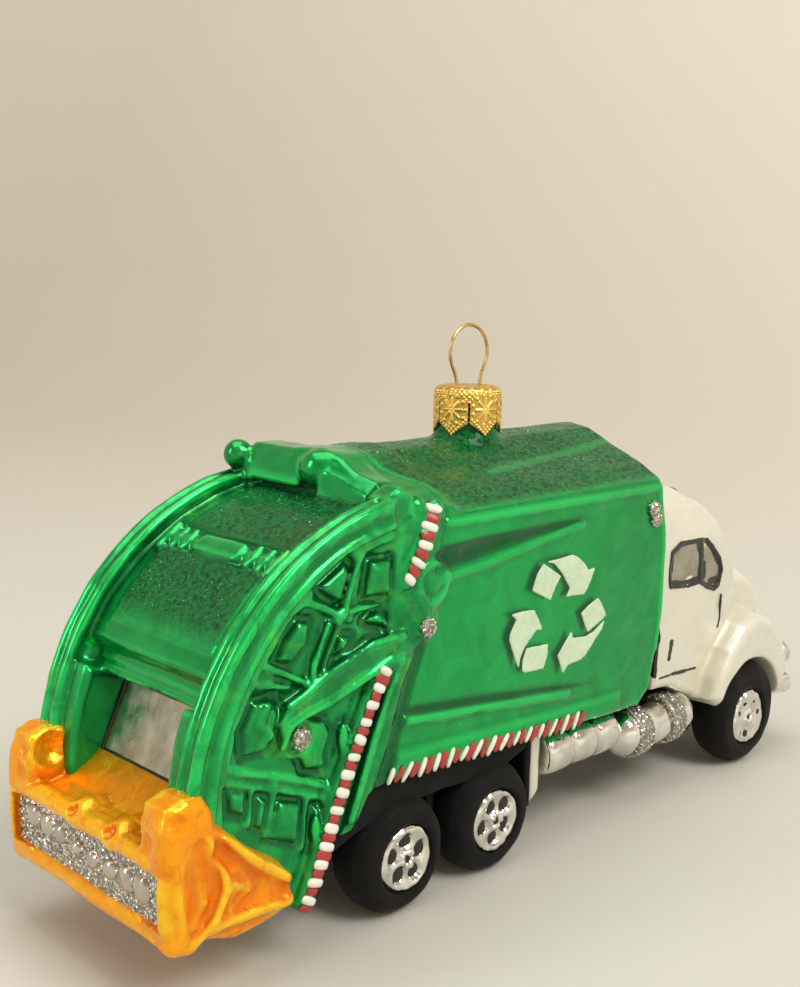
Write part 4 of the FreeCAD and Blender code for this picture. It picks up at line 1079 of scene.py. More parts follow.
def pearl_paint(name, tint):
    """Milky paint over silvered glass, a little metallic, with worn and dusty patches."""
    n = Nodes(name, Metallic=0.22, Coat_Weight=0.45, Coat_Roughness=0.22, IOR=1.5)
    warm = [tint[0] * 0.93, tint[1] * 0.86, tint[2] * 0.72]
    cold = [tint[0] * 0.86, tint[1] * 0.88, tint[2] * 0.9]
    cloud = n.blend(n.clouds((70.0, 4.0, 0.6, 0.5), 0.4, 0.7, 0.0, 0.55), tint, cold)
    return n.finish(
        n.blend(n.spread(n.attribute("hollow"), 0.02, 0.4, 0.0, 0.75), cloud, warm),
        n.clouds((220.0, 3.0), 0.3, 0.7, 0.26, 0.42),
        n.bump(n.noise(420.0, 4.0, 0.6), 0.3, 0.0003),
    )


def velvet_black(name, tint):
    """Dull black paint with a soft bloom."""
    n = Nodes(name, Sheen_Weight=0.03, Sheen_Roughness=0.5, Specular_IOR_Level=0.2)
    lighter = [channel + 0.003 for channel in tint]
    return n.finish(
        n.blend(n.clouds((500.0, 5.0, 0.7), 0.35, 0.75), tint, lighter),
        n.clouds((340.0, 3.0), 0.3, 0.7, 0.62, 0.8),
        n.bump(n.noise(2200.0, 4.0, 0.7), 0.35, 0.00015),
    )


def flakes(name, tint, shade):
    """Loose mirror flakes, each at its own slant."""
    n = Nodes(name, Metallic=1.0)
    return n.finish(
        n.blend(n.clouds((2600.0, 2.0), 0.4, 0.6), shade, tint), n.clouds((1500.0, 1.0), 0.35, 0.65, 0.12, 0.34)
    )


def stamped_metal(name, tint):
    """Thin sheet metal, darker where the stamp attribute is low."""
    n = Nodes(name, Metallic=0.85)
    return n.finish(
        n.blend(n.spread(n.attribute("stamp"), 0.0, 0.5), scaled(tint, 0.62), tint),
        n.clouds((1200.0, 3.0), 0.3, 0.7, 0.24, 0.4),
        n.bump(n.noise(700.0, 2.0), 0.3, 0.0001),
    )


def drawn_wire(name, tint):
    """Brass wire, drawn and slightly tarnished."""
    n = Nodes(name, Metallic=1.0)
    dark = [tint[0] * 0.55, tint[1] * 0.5, tint[2] * 0.5]
    return n.finish(
        n.blend(n.clouds((800.0, 4.0, 0.6, 1.0), 0.4, 0.75), tint, dark),
        n.clouds((1500.0, 2.0), 0.3, 0.7, 0.2, 0.34),
        n.bump(n.noise(3000.0, 2.0), 0.2, 0.00004),
    )


FINISHES = {}


def make_finishes():
    """Every material of the ornament, by name."""
    c = colours()
    FINISHES.update(
        green=green_lacquer("green_lacquer", c.green[:], c.green_light[:], c.green_deep[:], 0.2),
        amber=amber_lacquer("amber_lacquer", c.amber[:], c.amber_light[:], c.amber_deep[:], (0.50, 0.20, 0.002), 0.24),
        pearl=pearl_paint("pearl_paint", c.pearl[:]),
        tyre=velvet_black("velvet_black", c.black[:]),
        mirror=silvered("silvered_glass", (0.9, 0.88, 0.83), 0.07, 0.0005),
        window=silvered("window_mirror", (0.50, 0.465, 0.37), 0.32, 0.0002),
        line=brushed_paint("black_line", (0.004, 0.004, 0.004), (0.012, 0.011, 0.01), 0.35),
        lamp=silvered("lamp_glass", (0.66, 0.61, 0.54), 0.12, 0.0012),
        ink=brushed_paint("black_ink", (0.003, 0.003, 0.003), (0.008, 0.007, 0.006), 0.6),
        white=brushed_paint("white_dab", c.white[:], scaled(c.white, 0.82), 0.4),
        red=brushed_paint("red_dab", c.red[:], scaled(c.red, 0.55), 0.35),
        sign=brushed_paint("sign_white", (0.62, 0.74, 0.55), (0.42, 0.62, 0.42), 0.35),
        flakes=flakes("silver_flakes", (0.9, 0.86, 0.78), (0.36, 0.34, 0.3)),
        bed=silvered("glitter_bed", (0.34, 0.32, 0.29), 0.4, 0.0004),
        green_flakes=flakes("green_flakes", (0.10, 0.55, 0.22), (0.0, 0.10, 0.03)),
        gold=stamped_metal("stamped_gold", c.gold[:]),
        brass=drawn_wire("drawn_brass", (0.72, 0.50, 0.20)),
    )


def finish_piece(piece, finish, nodes=(), body=ROOT):
    """Give a piece its material, its body and the CAD nodes it stands for."""
    piece.data.materials.clear()
    piece.data.materials.append(FINISHES[finish])
    if nodes:
        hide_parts(*nodes)
    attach(piece, body)
    return piece


def both(*names):
    """The left and right CAD nodes of some names."""
    return [f"{name}_{side}" for name in names for side in ("left", "right")]


def cast_piece(name, solid, step, finish, nodes=(), body=ROOT, whole=None, masks=None):
    """Cast a solid and finish it as a piece."""
    return finish_piece(cast(name, solid, step, whole, masks), finish, nodes, body)


# ---------------------------------------------------------------- what repeats: dabs and flakes


SEARCH_STEPS = 70


def find_side(form, x, z, start=20.0, inside=11.0):
    """Where a line coming in from the +y side first meets a form, and the surface's direction there."""
    x, z = np.asarray(x, float), np.asarray(z, float)
    y = np.full(len(x), start)
    for _ in range(SEARCH_STEPS):
        gap = form(x, y, z)
        y = np.where((gap > 0.01) & (y > inside), y - np.clip(gap, 0.01, 1.5) * 0.7, y)
    place = np.stack([x, y, z], 1)
    slope = slopes(form, place, 0.3)
    return place, slope / np.sqrt((slope**2).sum(1))[:, None]


def lying(outward, along):
    """Turns that lay a dab's face on the surface with its length along a direction."""
    angles = []
    for normal, way in zip(outward, along):
        up = Vector(normal).normalized()
        long = Vector(way) - up * Vector(way).dot(up)
        long.normalize()
        side = up.cross(long)
        turn = Matrix((long, side, up)).transposed()
        angles.append(turn.to_euler())
    return np.array([tuple(one) for one in angles])


def helper(name, shape):
    """An object from a bmesh, only there to be repeated."""
    mesh = bpy.data.meshes.new(name)
    shape.to_mesh(mesh)
    shape.free()
    return placed(name, mesh)


def dab_shape(name, half):
    """One small rounded dab, a squashed ball of a few dozen faces."""
    shape = bmesh.new()
    bmesh.ops.create_icosphere(shape, subdivisions=2, radius=1.0)
    for vertex in shape.verts:
        x, y, z = vertex.co
        flat = math.hypot(x, y)
        ease = flat / (x**4 + y**4) ** 0.25 if flat > 1e-6 else 1.0
        vertex.co = Vector((x * half[0] * ease, y * half[1] * ease, z * half[2])) / MM
    return helper(name, shape)


def flake_shape(name, size):
    """One flat six-sided flake."""
    shape = bmesh.new()
    bmesh.ops.create_cone(shape, cap_ends=True, segments=6, radius1=size, radius2=size * 0.8, depth=size * 0.35)
    return helper(name, shape)


class Scatter(Graph):
    """A geometry node tree with named inputs, which sets a shape on points and gives it a paint."""

    def __init__(self, name, **inputs):
        super().__init__(bpy.data.node_groups.new(name, "GeometryNodeTree"))
        new_socket = self.tree.interface.new_socket
        new_socket("Geometry", in_out="OUTPUT", socket_type="NodeSocketGeometry")
        for label, kind in {"Geometry": "Geometry", "Shape": "Object", "Paint": "Material", **inputs}.items():
            new_socket(label, in_out="INPUT", socket_type="NodeSocket" + kind)
        self.given = self.add("NodeGroupInput").outputs

    def named(self, name, kind):
        """A value kept at the points."""
        return self.add("GeometryNodeInputNamedAttribute", {"Name": name}, data_type=kind).outputs["Attribute"]

    def times(self, first, second):
        """A product of two numbers."""
        return self.add("ShaderNodeMath", {0: first, 1: second}, operation="MULTIPLY").outputs[0]

    def set_shapes(self, points, rotation, scale):
        """Set the shape on points as plain painted geometry, and end the tree."""
        shape = self.add("GeometryNodeObjectInfo", {"Object": self.given["Shape"]}).outputs["Geometry"]
        places = {"Points": points, "Instance": shape, "Rotation": rotation, "Scale": scale}
        instances = self.add("GeometryNodeInstanceOnPoints", places).outputs[0]
        real = self.add("GeometryNodeRealizeInstances", {0: instances}).outputs[0]
        paint = {"Geometry": real, "Material": self.given["Paint"]}
        self.add("NodeGroupOutput", {0: self.add("GeometryNodeSetMaterial", paint).outputs[0]})
        return self.tree


def dab_tree():
    """Sets a dab at every point, turned and sized by the points' own attributes."""
    g = Scatter("set_dabs")
    turn = g.add("FunctionNodeEulerToRotation", {0: g.named("turn", "FLOAT_VECTOR")}).outputs[0]
    return g.set_shapes(g.given["Geometry"], turn, g.named("size", "FLOAT_VECTOR"))


def flake_tree():
    """Strews flat flakes over a surface, each at a random slant."""
    g = Scatter("strew_flakes", **{"Flakes per square metre": "Float", "Slant": "Float", "Seed": "Int"})
    density = g.times(g.named("strew", "FLOAT"), g.given["Flakes per square metre"])
    spread = {"Mesh": g.given["Geometry"], "Density": density, "Seed": g.given["Seed"]}
    points = g.add("GeometryNodeDistributePointsOnFaces", spread).outputs
    lean = {"Min": g.times(g.given["Slant"], -1.0), "Max": g.given["Slant"], "Seed": g.given["Seed"]}
    slant = g.add("FunctionNodeRandomValue", lean, data_type="FLOAT_VECTOR").outputs["Value"]
    turns = {0: points["Rotation"], 1: g.add("FunctionNodeEulerToRotation", {0: slant}).outputs[0]}
    rotation = g.add("FunctionNodeRotateRotation", turns, rotation_space="LOCAL").outputs[0]
    size = g.add("FunctionNodeRandomValue", {2: 0.6, 3: 1.25}, data_type="FLOAT").outputs[1]
    return g.set_shapes(points["Points"], rotation, size)


TREES = {}


def repeated(tree, mesh, shape, name, finish, **values):
    """Run a tree on a mesh and keep the result as a plain piece; the mesh and the repeated shape go."""
    source = placed(name + "_source", mesh)
    modifier = source.modifiers.new("make", "NODES")
    modifier.node_group = TREES[tree]
    values.update(Shape=shape, Paint=FINISHES[finish])
    for item in TREES[tree].interface.items_tree:
        if item.in_out == "INPUT" and item.name in values:
            modifier[item.identifier] = values[item.name]
    source.update_tag()
    graph = bpy.context.evaluated_depsgraph_get()
    piece = placed(name, bpy.data.meshes.new_from_object(source.evaluated_get(graph), depsgraph=graph))
    piece.data.name = name
    for helping in (source, shape):
        bpy.data.objects.remove(helping)
    return piece


def set_dabs(name, half, place, outward, along, stretch, finish):
    """A row of painted dabs as one piece."""
    points = bpy.data.meshes.new(name + "_points")
    points.vertices.add(len(place))
    points.vertices.foreach_set("co", in_metres(place))
    write_layer(points, "turn", lying(outward, along), "FLOAT_VECTOR")
    write_layer(points, "size", stretch, "FLOAT_VECTOR")
    piece = repeated("dabs", points, dab_shape(name + "_dab", half), name, finish)
    piece.data.shade_smooth()
    return finish_piece(piece, finish)


def strew(name, bed, density, finish, slant=0.5, grain=1.0):
    """Flakes over a bed, as dense as its strew attribute says; the bed keeps its place as a piece of its own."""
    mesh = bed.data.copy()
    if "strew" not in mesh.attributes:
        write_layer(mesh, "strew", np.ones(len(mesh.vertices)))
    flake = flake_shape(name + "_flake", sizes().grain * grain / MM)
    scatter = {"Flakes per square metre": density, "Slant": slant, "Seed": sizes().seed}
    return finish_piece(repeated("flakes", mesh, flake, name, finish, **scatter), finish)


FORMS = {}


def glass_step():
    return sizes().step * 1.0


def paint_step():
    return sizes().paint_step * 1.0


def coat(base, tool, thickness):
    """A thin coat on a form, as far as a tool reaches."""
    return within(grown(base, thickness), tool, 0.04)


# ---------------------------------------------------------------- operators, one for each group of pieces


def ramp(value, start, width):
    """A rise from 0 at start to 1 a width further on."""
    return np.clip((value - start) / width, 0.0, 1.0)


def grit_mask(place, outward):
    """Where the green is strewn with grit: the roof and two panels down the tail."""
    x, y, z = place.T
    around_neck = np.hypot(x - NECK_X, y)
    roof = ramp(z, 52.8, 0.9) * ramp(x - np.clip(np.abs(y) - 7.0, 0, 5), 3.4, 1.5)
    crease = ramp(-np.abs(np.abs(y) - 9.9 + 0.1 * (x - 22.0)), -0.9, 0.6) * (x > 22.0)
    roof *= (1.0 - 0.55 * crease) * np.clip(np.maximum((outward[:, 2] - 0.1) / 0.2, 6.4 - around_neck), 0, 1)
    ring = np.hypot(x - DRUM_X, z - DRUM_Z)
    angle = np.degrees(np.arctan2(z - DRUM_Z, DRUM_X - x))
    band = ramp(-np.abs(y), -10.9, 0.6) * ramp(ring, 32.5, 0.4) * (ring < 34.3)
    low = ramp(angle, 34.0, 6.0) * ramp(-angle, -54.2, 1.0)
    high = ramp(angle, 61.0, 1.0) * ramp(-angle, -92.0, 1.0)
    return np.clip(roof + band * (low + high), 0, 1)


def relief_mask(place, outward):
    """The tail's moulded sides and rails, where the lacquer glows unevenly."""
    x, y, z = place.T
    seam = JOINT_X + JOINT_LEAN * (z - JOINT_FOOT) / LEAN_HEIGHT
    return ramp(seam - x, -1.0, 2.0) * (np.abs(y) > 11.0)


def olive_mask(place, outward):
    """The floor of the tub, where the amber turns olive."""
    x, y, _ = place.T
    return ramp(x, -36.0, 7.0) * np.clip(outward[:, 2], 0, 1) ** 0.6 * (np.abs(y) < 12.6)


class ORNAMENT_OT_prepare(bpy.types.Operator):
    """Make the finishes, the repeating trees and the glass forms"""

    bl_idname = "ornament.prepare"
    bl_label = "Finishes and forms"

    def execute(self, context):
        make_finishes()
        TREES["dabs"] = dab_tree()
        TREES["flakes"] = flake_tree()
        FORMS["green"] = green_form()
        FORMS["amber"] = amber_form()
        FORMS["white"] = white_form()
        return {"FINISHED"}


class ORNAMENT_OT_body(bpy.types.Operator):
    """Cast the green refuse body and its curved tail"""

    bl_idname = "ornament.body"
    bl_label = "Body and tail"

    def execute(self, context):
        whole = FORMS["green"]
        masks = {"grit": grit_mask, "shade": shade_mask, "relief": relief_mask}
        under = within(grown(whole, -0.1), beside_joint(1, -1.4), 0.02)
        front = join([within(whole, beside_joint(1, 0.0), 0.02), under], 0.02)
        nodes = ["refuse_body", *both("body_skirt")]
        cast_piece("body_shell", front, glass_step(), "green", nodes, whole=whole, masks=masks)
        back = within(whole, beside_joint(-1, 0.0), 0.02)
        nodes = ["tailgate", *both("tail_rail", "packer_arm"), "top_cross_bar"]
        cast_piece("tail_shell", back, glass_step() * 0.9, "green", nodes, whole=whole, masks=masks)
        return {"FINISHED"}


class ORNAMENT_OT_hopper(bpy.types.Operator):
    """Cast the amber hopper with its cheeks and knobs"""

    bl_idname = "ornament.hopper"
    bl_label = "Hopper"

    def execute(self, context):
        nodes = ["hopper", *both("hopper_cheek"), "hopper_knobs"]
        cast_piece("hopper_shell", FORMS["amber"], glass_step() * 0.85, "amber", nodes, masks={"olive": olive_mask})
        return {"FINISHED"}


class ORNAMENT_OT_cab(bpy.types.Operator):
    """Cast the white cab with its hood, doors and fenders"""

    bl_idname = "ornament.cab"
    bl_label = "Cab"

    def execute(self, context):
        cast_piece("cab_shell", FORMS["white"], glass_step(), "pearl", ["cab", "hood", *both("door", "front_fender")])
        return {"FINISHED"}


# Each tyre's name, axle place, radius and box, with how far forward and up its hub sits off the middle.
TYRES = (
    ("rear", 0.0, REAR_RADIUS, REAR_TYRE, (0.5, -0.4)),
    ("middle", MIDDLE_X, REAR_RADIUS, MIDDLE_TYRE, (0.2, -0.4)),
    ("front", FRONT_X, FRONT_RADIUS, FRONT_TYRE, (0.2, -1.0)),
)
TYRE_SOFT = 1.5
HUB_TURN = {"rear": 0.3, "middle": 0.75, "front": 0.1}


def wobbling(solid):
    """A tyre with the slow unevenness of soft glass."""

    def distance(x, y, z):
        return solid(x, y, z) + 0.06 * np.sin(0.9 * x + 0.5 * z) * np.sin(0.7 * z)

    return Solid(distance, solid.low, solid.high)


def both_sides(*rows):
    """Points or directions on the +y side, followed by the same on the other side."""
    return [np.concatenate([row, row * np.array([1.0, -1.0, 1.0])]) for row in rows]


class ORNAMENT_OT_wheels(bpy.types.Operator):
    """Turn the soft black tyres and press the bright hubs"""

    bl_idname = "ornament.wheels"
    bl_label = "Wheels"

    def execute(self, context):
        for name, cx, radius, (low, high), shift in TYRES:
            inner, outer = float(low[1]) + TYRE_SOFT, float(high[1])
            hub = radius * (0.52 if name == "front" else 0.56)
            edge, face = radius - TYRE_SOFT, outer - TYRE_SOFT
            outline = [
                (0.0, inner), (edge - 0.3, inner), (edge, inner + 1.0), (edge, face - 1.0), (edge - 0.5, face - 0.1),
                (edge - 2.2, face), (hub + TYRE_SOFT * 0.6, face - 0.25), (0.0, face - 0.6),
            ]
            tyre = wobbling(turned(outline, 1, (cx, radius), TYRE_SOFT))
            middle = (cx + shift[0], radius + shift[1])
            seat = [(0, outer - 1.1), (hub + 0.15, outer - 0.8), (hub + 0.35, outer + 1.0), (0, outer + 1.0)]
            solid = mirrored(carve(tyre, [turned(seat, 1, middle, 0.1)], 0.5))
            cast_piece(f"tyre_{name}_soft", solid, glass_step(), "tyre", both(f"tyre_{name}"))
            self.hub(name, *middle, hub, outer - 0.75)
        return {"FINISHED"}

    def hub(self, name, cx, cz, hub, face):
        """A bright pressed disc with a raised middle, and black paint in its holes."""
        front = name == "front"
        count = sizes().hub_holes + (2 if front else 0)
        ring = hub * (0.66 if front else 0.56)
        outline = [
            (0, face - 1.6), (hub - 0.1, face - 1.6), (hub, face + 0.1), (hub * 0.9, face + 0.5),
            (hub * 0.62, face + 0.2), (hub * 0.34, face + 0.3), (hub * 0.24, face + 0.6), (0, face + 0.6),
        ]
        turn = HUB_TURN[name]
        angles = np.arange(count) * 2 * math.pi / count + turn
        uneven = 1.0 + 0.08 * np.sin(angles * 2.0 + turn * 9)
        xs, zs = cx + ring * uneven * np.cos(angles), cz + ring * uneven * np.sin(angles)
        holes = [] if front else [egg((x, face + 0.5, z), (hub * 0.26, 0.9, hub * 0.26)) for x, z in zip(xs, zs)]
        holes.append(egg((cx, face + 0.75, cz), (hub * 0.13, 0.6, hub * 0.13)))
        disc = carve(turned(outline, 1, (cx, cz), 0.12), holes, 0.45)

        def uneven_rim(x, y, z):
            angle = np.arctan2(z - cz, x - cx)
            fine = 0.07 * np.sin(8 * angle) * np.sin(1.7 * (x - cx))
            return disc(x, y, z) + 0.10 * np.sin(3 * angle + turn * 5) + fine

        solid = mirrored(Solid(uneven_rim, disc.low - 0.2, disc.high + 0.2))
        cast_piece(f"hub_{name}_bright", solid, paint_step() * 1.1, "mirror", both(f"hub_{name}"))
        size, depth = (0.54, 0.2) if front else (1.12, -0.12)
        dabs = [
            (x, face + depth, z, -math.sin(a), math.cos(a), size, size * (0.84 + 0.2 * math.sin(3 * a + turn)))
            for x, z, a in zip(xs, zs, angles)
        ]
        dabs.append((cx, face + 0.32, cz, 1.0, 0.0, 0.55, 0.55))
        x, y, z, along_x, along_z, wide, high = np.array(dabs).T
        flat = np.zeros(len(dabs))
        outward, along = np.stack([flat, flat + 1.0, flat], 1), np.stack([along_x, flat, along_z], 1)
        rows = both_sides(np.stack([x, y, z], 1), outward, along)
        stretch = np.tile(np.stack([wide, high, flat + 1.0], 1), (2, 1))
        set_dabs(f"hub_{name}_holes", (hub * 0.25, hub * 0.25, 0.24), *rows, stretch, "ink")


GRILLE_BARS = 9


class ORNAMENT_OT_underbody(bpy.types.Operator):
    """Cast the black frame, the tanks, the flaps and the bumper"""

    bl_idname = "ornament.underbody"
    bl_label = "Frame and tanks"

    def execute(self, context):
        step = glass_step()
        frame_side = [
            (-19.0, 9.5), (-15.0, 17.5), (-4.0, 18.8), (26.0, 18.2), (58.0, 17.0), (72.0, 17.0), (94.0, 16.0),
            (95.0, 10.2), (70.0, 9.6), (34.0, 9.8), (24.0, 7.0), (-10.0, 7.0),
        ]
        axles = ((0.0, REAR_RADIUS), (MIDDLE_X, REAR_RADIUS), (FRONT_X, FRONT_RADIUS))
        over_wheels = [
            (-15.8, 13.6), (-12.6, 17.2), (-4.0, 18.9), (26.0, 17.7), (26.0, 16.0), (19.0, 14.0), (9.0, 14.6),
            (-3.0, 14.4), (-13.0, 11.4),
        ]
        between = [(7.6, 17.0), (10.4, 17.0), (9.6, 10.0), (8.4, 10.0)]
        parts = [
            plate(frame_side, -9.6, 9.6, 1.0),
            mirrored(rod((-14.0, 8.4, 14.5), (92.0, 8.4, 13.0), 1.9)),
            mirrored(join([plate(over_wheels, 9.0, 15.4, 0.7), plate(between, 9.0, 12.4, 0.6)], 0.6)),
        ]
        parts += [rod((x, -9.2, 9.4), (x, 9.2, 9.4), 1.3) for x in (-8.0, 9.0, 27.0, 40.0, 54.0, 68.0)]
        parts += [rod((x, -10.4, z), (x, 10.4, z), 2.4) for x, z in axles]
        parts += [egg((x, 0.0, REAR_RADIUS + 0.6), (4.2, 4.6, 4.0)) for x in (0.0, MIDDLE_X)]
        cast_piece("underbody", rippled(join(parts, 1.0), 0.08), step * 1.1, "tyre", ["chassis"])
        self.air_tanks(step)
        self.fuel_tanks(step)
        self.flaps(step)
        self.bumper(step)
        self.grille(paint_step() * 1.4)
        self.headlamps(paint_step() * 1.4)
        return {"FINISHED"}

    def air_tanks(self, step):
        """Three swollen lengths of tank on each side, with a strap at each joint."""
        (x0, y0, z0), (x1, y1, z1) = box_mm("air_tank_left", ORIGIN)
        y, z, radius, long = (y0 + y1) / 2, (z0 + z1) / 2, min(y1 - y0, z1 - z0) / 2, (x1 - x0) / 3
        parts = []
        for one in range(3):
            a, b = x0 + long * one + radius * 0.55, x0 + long * (one + 1) - radius * 0.55
            parts.append(rod((a, y, z), (max(b, a + 0.4), y, z), radius * 0.97))
        for x in (x0 + long, x0 + long * 2):
            parts.append(rod((x, y - 0.3, z - 0.3), (x + 0.4, y - 0.3, z - 0.3), radius * 0.86))
        ends = Solid(lambda x, y, z: np.maximum(x0 - x, x - x1), (x0, -25, 0), (x1, 25, 40))
        tanks = within(mirrored(rippled(join(parts, 0.5), 0.12)), ends)
        cast_piece("air_tanks", tanks, step, "mirror", both("air_tank"))

    def fuel_tanks(self, step):
        """A fuel tank on each side, between two strewn straps."""
        (x0, y0, z0), (x1, y1, z1) = box_mm("fuel_tank_left", ORIGIN)
        y, z, radius = (y0 + y1) / 2, (z0 + z1) / 2, (y1 - y0) / 2
        parts = [rod((x0 + radius * 0.7, y, z), (x1 - radius * 0.7, y, z), radius * 0.9)]
        parts += [egg((x, y, z), (2.6, radius * 0.86, radius * 0.86)) for x in (x0 + 2.6, x1 - 2.6)]
        cast_piece("fuel_tanks", mirrored(rippled(join(parts, 0.8), 0.15)), step, "mirror", both("fuel_tank"))
        middles = (x0 + (x1 - x0) * share + 0.8 for share in (0.2, 0.66))
        bands = [collar(x, y, z, radius * 0.86, 0.75, 1.9, 0.5, 0.05) for x in middles]
        bed = cast_piece("tank_straps", mirrored(join(bands, 0.2)), step, "bed")
        strew("tank_strap_glitter", bed, 6e6, "flakes")

    def flaps(self, step):
        """A black flap behind a short white post, on each side."""
        (x0, y0, z0), (x1, y1, z1) = box_mm("mud_flap_left", ORIGIN)
        flap = plate([(x0, z0 + 1), (x0, z1), (x0 + 1.4, z1), (x0 + 1.3, z0)], y0, y1, 0.5)
        cast_piece("mud_flaps", mirrored(rippled(flap, 0.05)), step, "tyre", both("mud_flap"))
        post = plate([(x0 + 1.4, z0 + 0.6), (x0 + 1.3, z1), (x1, z1), (x1 - 0.4, z0 + 2.4)], y1 - 2.6, y1, 0.8)
        cast_piece("flap_posts", mirrored(rippled(post, 0.1)), step, "pearl")

    def bumper(self, step):
        """A bent bar with a groove along its face."""
        (x0, _, z0), (x1, half, z1) = box_mm("front_bumper", ORIGIN)
        outline = [
            (x0 + 0.2, -half + 1.6), (x1 - 2.4, -half + 0.4), (x1 - 0.4, -half + 5.0), (x1 - 0.2, 0.0),
            (x1 - 0.4, half - 5.0), (x1 - 2.4, half - 0.4), (x0 + 0.2, half - 1.6),
        ]
        middle = (z0 + z1) / 2
        groove = rod((x1 + 0.2, -half * 0.8, middle), (x1 + 0.2, half * 0.8, middle), 0.8)
        bar = rippled(carve(slab(outline, 2, z0 + 0.15, z1 - 0.15, 1.3), [groove], 0.6), 0.1)
        face = Solid(lambda x, y, z: x - x1 + 0.05, (x0, -25, 0), (x1, 25, 40))
        cast_piece("bumper", within(bar, face), step, "mirror", ["front_bumper"])

    def grille(self, step):
        """Upright bars in a bright frame."""
        (x0, _, z0), (x1, half, z1) = box_mm("grille", ORIGIN)
        outline = [(-half, z0 + 0.5), (-half + 0.8, z1 - 0.8), (-half + 2, z1)]
        parts = [section(even(outline), x0 - 2.0, x1 - 0.3, 0.5)]
        for y in np.linspace(-half + 1.2, half - 1.2, GRILLE_BARS):
            parts.append(rod((x1 - 0.4, y, z0 + 1.0), (x1 - 0.4, y, z1 - 1.2), 0.38))
        for z in (z0 + 0.8, z1 - 0.9):
            parts.append(rod((x1 - 0.5, -half + 0.8, z), (x1 - 0.5, half - 0.8, z), 0.5))
        cast_piece("grille_bright", rippled(join(parts, 0.3), 0.04), step, "mirror", ["grille"])

    def headlamps(self, step):
        """A round lamp on each side, swollen in the middle."""
        (x0, y0, z0), (x1, y1, z1) = box_mm("headlamp_left", ORIGIN)
        y, z, radius = (y0 + y1) / 2, (z0 + z1) / 2, min(y1 - y0, z1 - z0) / 2
        back, face = (x0 + x1) / 2 - 2.0, x1 - 0.6
        rim = collar((back + face) / 2, y, z, 0.0, radius * 0.96, (face - back) / 2, 0.5)
        lamp = join([rim, egg((x1 - 1.2, y, z), (1.1, radius * 0.7, radius * 0.7))], 0.2)
        cast_piece("headlamps_bright", mirrored(lamp), step, "mirror", both("headlamp"))


# Brush strokes of black on the cab's side: two ends and half a width. One of them, down the quarter pane, is painted
# shade.
CAB_STROKES = (
    ((70.0, 40.6), (70.4, 38.0), 0.8), ((70.4, 38.0), (69.9, 34.3), 0.85), ((61.5, 34.8), (64.8, 34.3), 0.6),
    # The last stroke on the next line, from (71.4, 36.6), is painted shade inside the quarter pane.
    ((64.8, 34.3), (69.4, 34.5), 0.5), ((69.0, 40.4), (69.4, 39.4), 0.5), ((71.4, 36.6), (71.3, 34.6), 0.6),
    ((73.3, 33.4), (75.0, 33.4), 0.65), ((61.6, 39.2), (61.6, 37.0), 0.35), ((74.0, 38.1), (75.4, 36.2), 0.3),
    ((58.3, 29.0), (58.6, 26.4), 0.17), ((58.6, 26.4), (58.2, 23.4), 0.24), ((58.2, 23.4), (58.1, 19.9), 0.33),
    ((59.3, 19.3), (63.3, 19.2), 0.16), ((63.3, 19.2), (66.8, 19.0), 0.3), ((66.8, 19.0), (69.9, 18.9), 0.2),
    ((76.9, 30.4), (76.6, 28.5), 0.24), ((76.6, 28.5), (76.6, 26.4), 0.2), ((76.6, 26.4), (76.1, 24.8), 0.14),
    ((62.2, 24.8), (61.9, 23.4), 0.6), ((61.9, 23.4), (61.8, 22.2), 0.52),
)


class ORNAMENT_OT_windows(bpy.types.Operator):
    """Paint the windows, their black outlines and the door lines"""

    bl_idname = "ornament.windows"
    bl_label = "Windows and lines"

    def execute(self, context):
        step = paint_step()
        white = FORMS["white"]
        glass = join([plate(outline, 12.0, 18.0, 0.5) for outline in PANES], 0.05)
        cast_piece("side_panes", mirrored(coat(white, glass, 0.10)), step, "window", both("side_window"))
        lines = []
        for outline, width in zip(PANES, (0.46, 0.48)):
            lines += [stroke(a, b, width, 1, 12.0, 18.0) for a, b in zip(outline, outline[1:] + outline[:1])]
        lines += [stroke(a, b, width, 1, 12.0, 18.6) for a, b, width in CAB_STROKES]
        cast_piece("cab_lines", mirrored(coat(white, join(lines, 0.1), 0.17)), step, "line")
        corners = even([(-11.0, 41.6), (-10.2, 49.0)])
        shield = coat(white, section(corners, 64.0, 80.0, 0.5), 0.10)
        cast_piece("windscreen_pane", shield, step * 1.3, "window", ["windscreen"])
        bars = [stroke(a, b, 0.45, 0, 64.0, 80.0) for a, b in zip(corners, corners[1:] + corners[:1])]
        bars.append(stroke((0.0, 41.6), (0.0, 49.0), 0.35, 0, 64.0, 80.0))
        cast_piece("windscreen_lines", coat(white, join(bars, 0.1), 0.17), step * 1.2, "line")
        self.rear_window(step)
        return {"FINISHED"}

    def rear_window(self, step):
        """The pane in the tail, standing at the back of its pocket."""
        low, high = Vector((-28.6, 22.9)), Vector((-24.6, 31.6))
        out = Vector((-(high - low).y, (high - low).x)).normalized() * 0.3
        outline = [tuple(corner) for corner in (low - out * 4, low + out, high + out, high - out * 4)]
        pane = rippled(plate(outline, -9.9, 9.9, 0.1), 0.05)
        cast_piece("rear_pane", pane, step * 1.6, "window", ["rear_window"])
        (x0, z0), (x1, z1) = outline[1:3]
        bars = [rod((x0, y, z0), (x1, y, z1), 0.3) for y in (-9.8, 9.8)]
        bars += [rod((x, -9.8, z), (x, 9.8, z), 0.34) for x, z in outline[1:3]]
        cast_piece("rear_pane_lines", rippled(join(bars, 0.1), 0.08), step, "line")


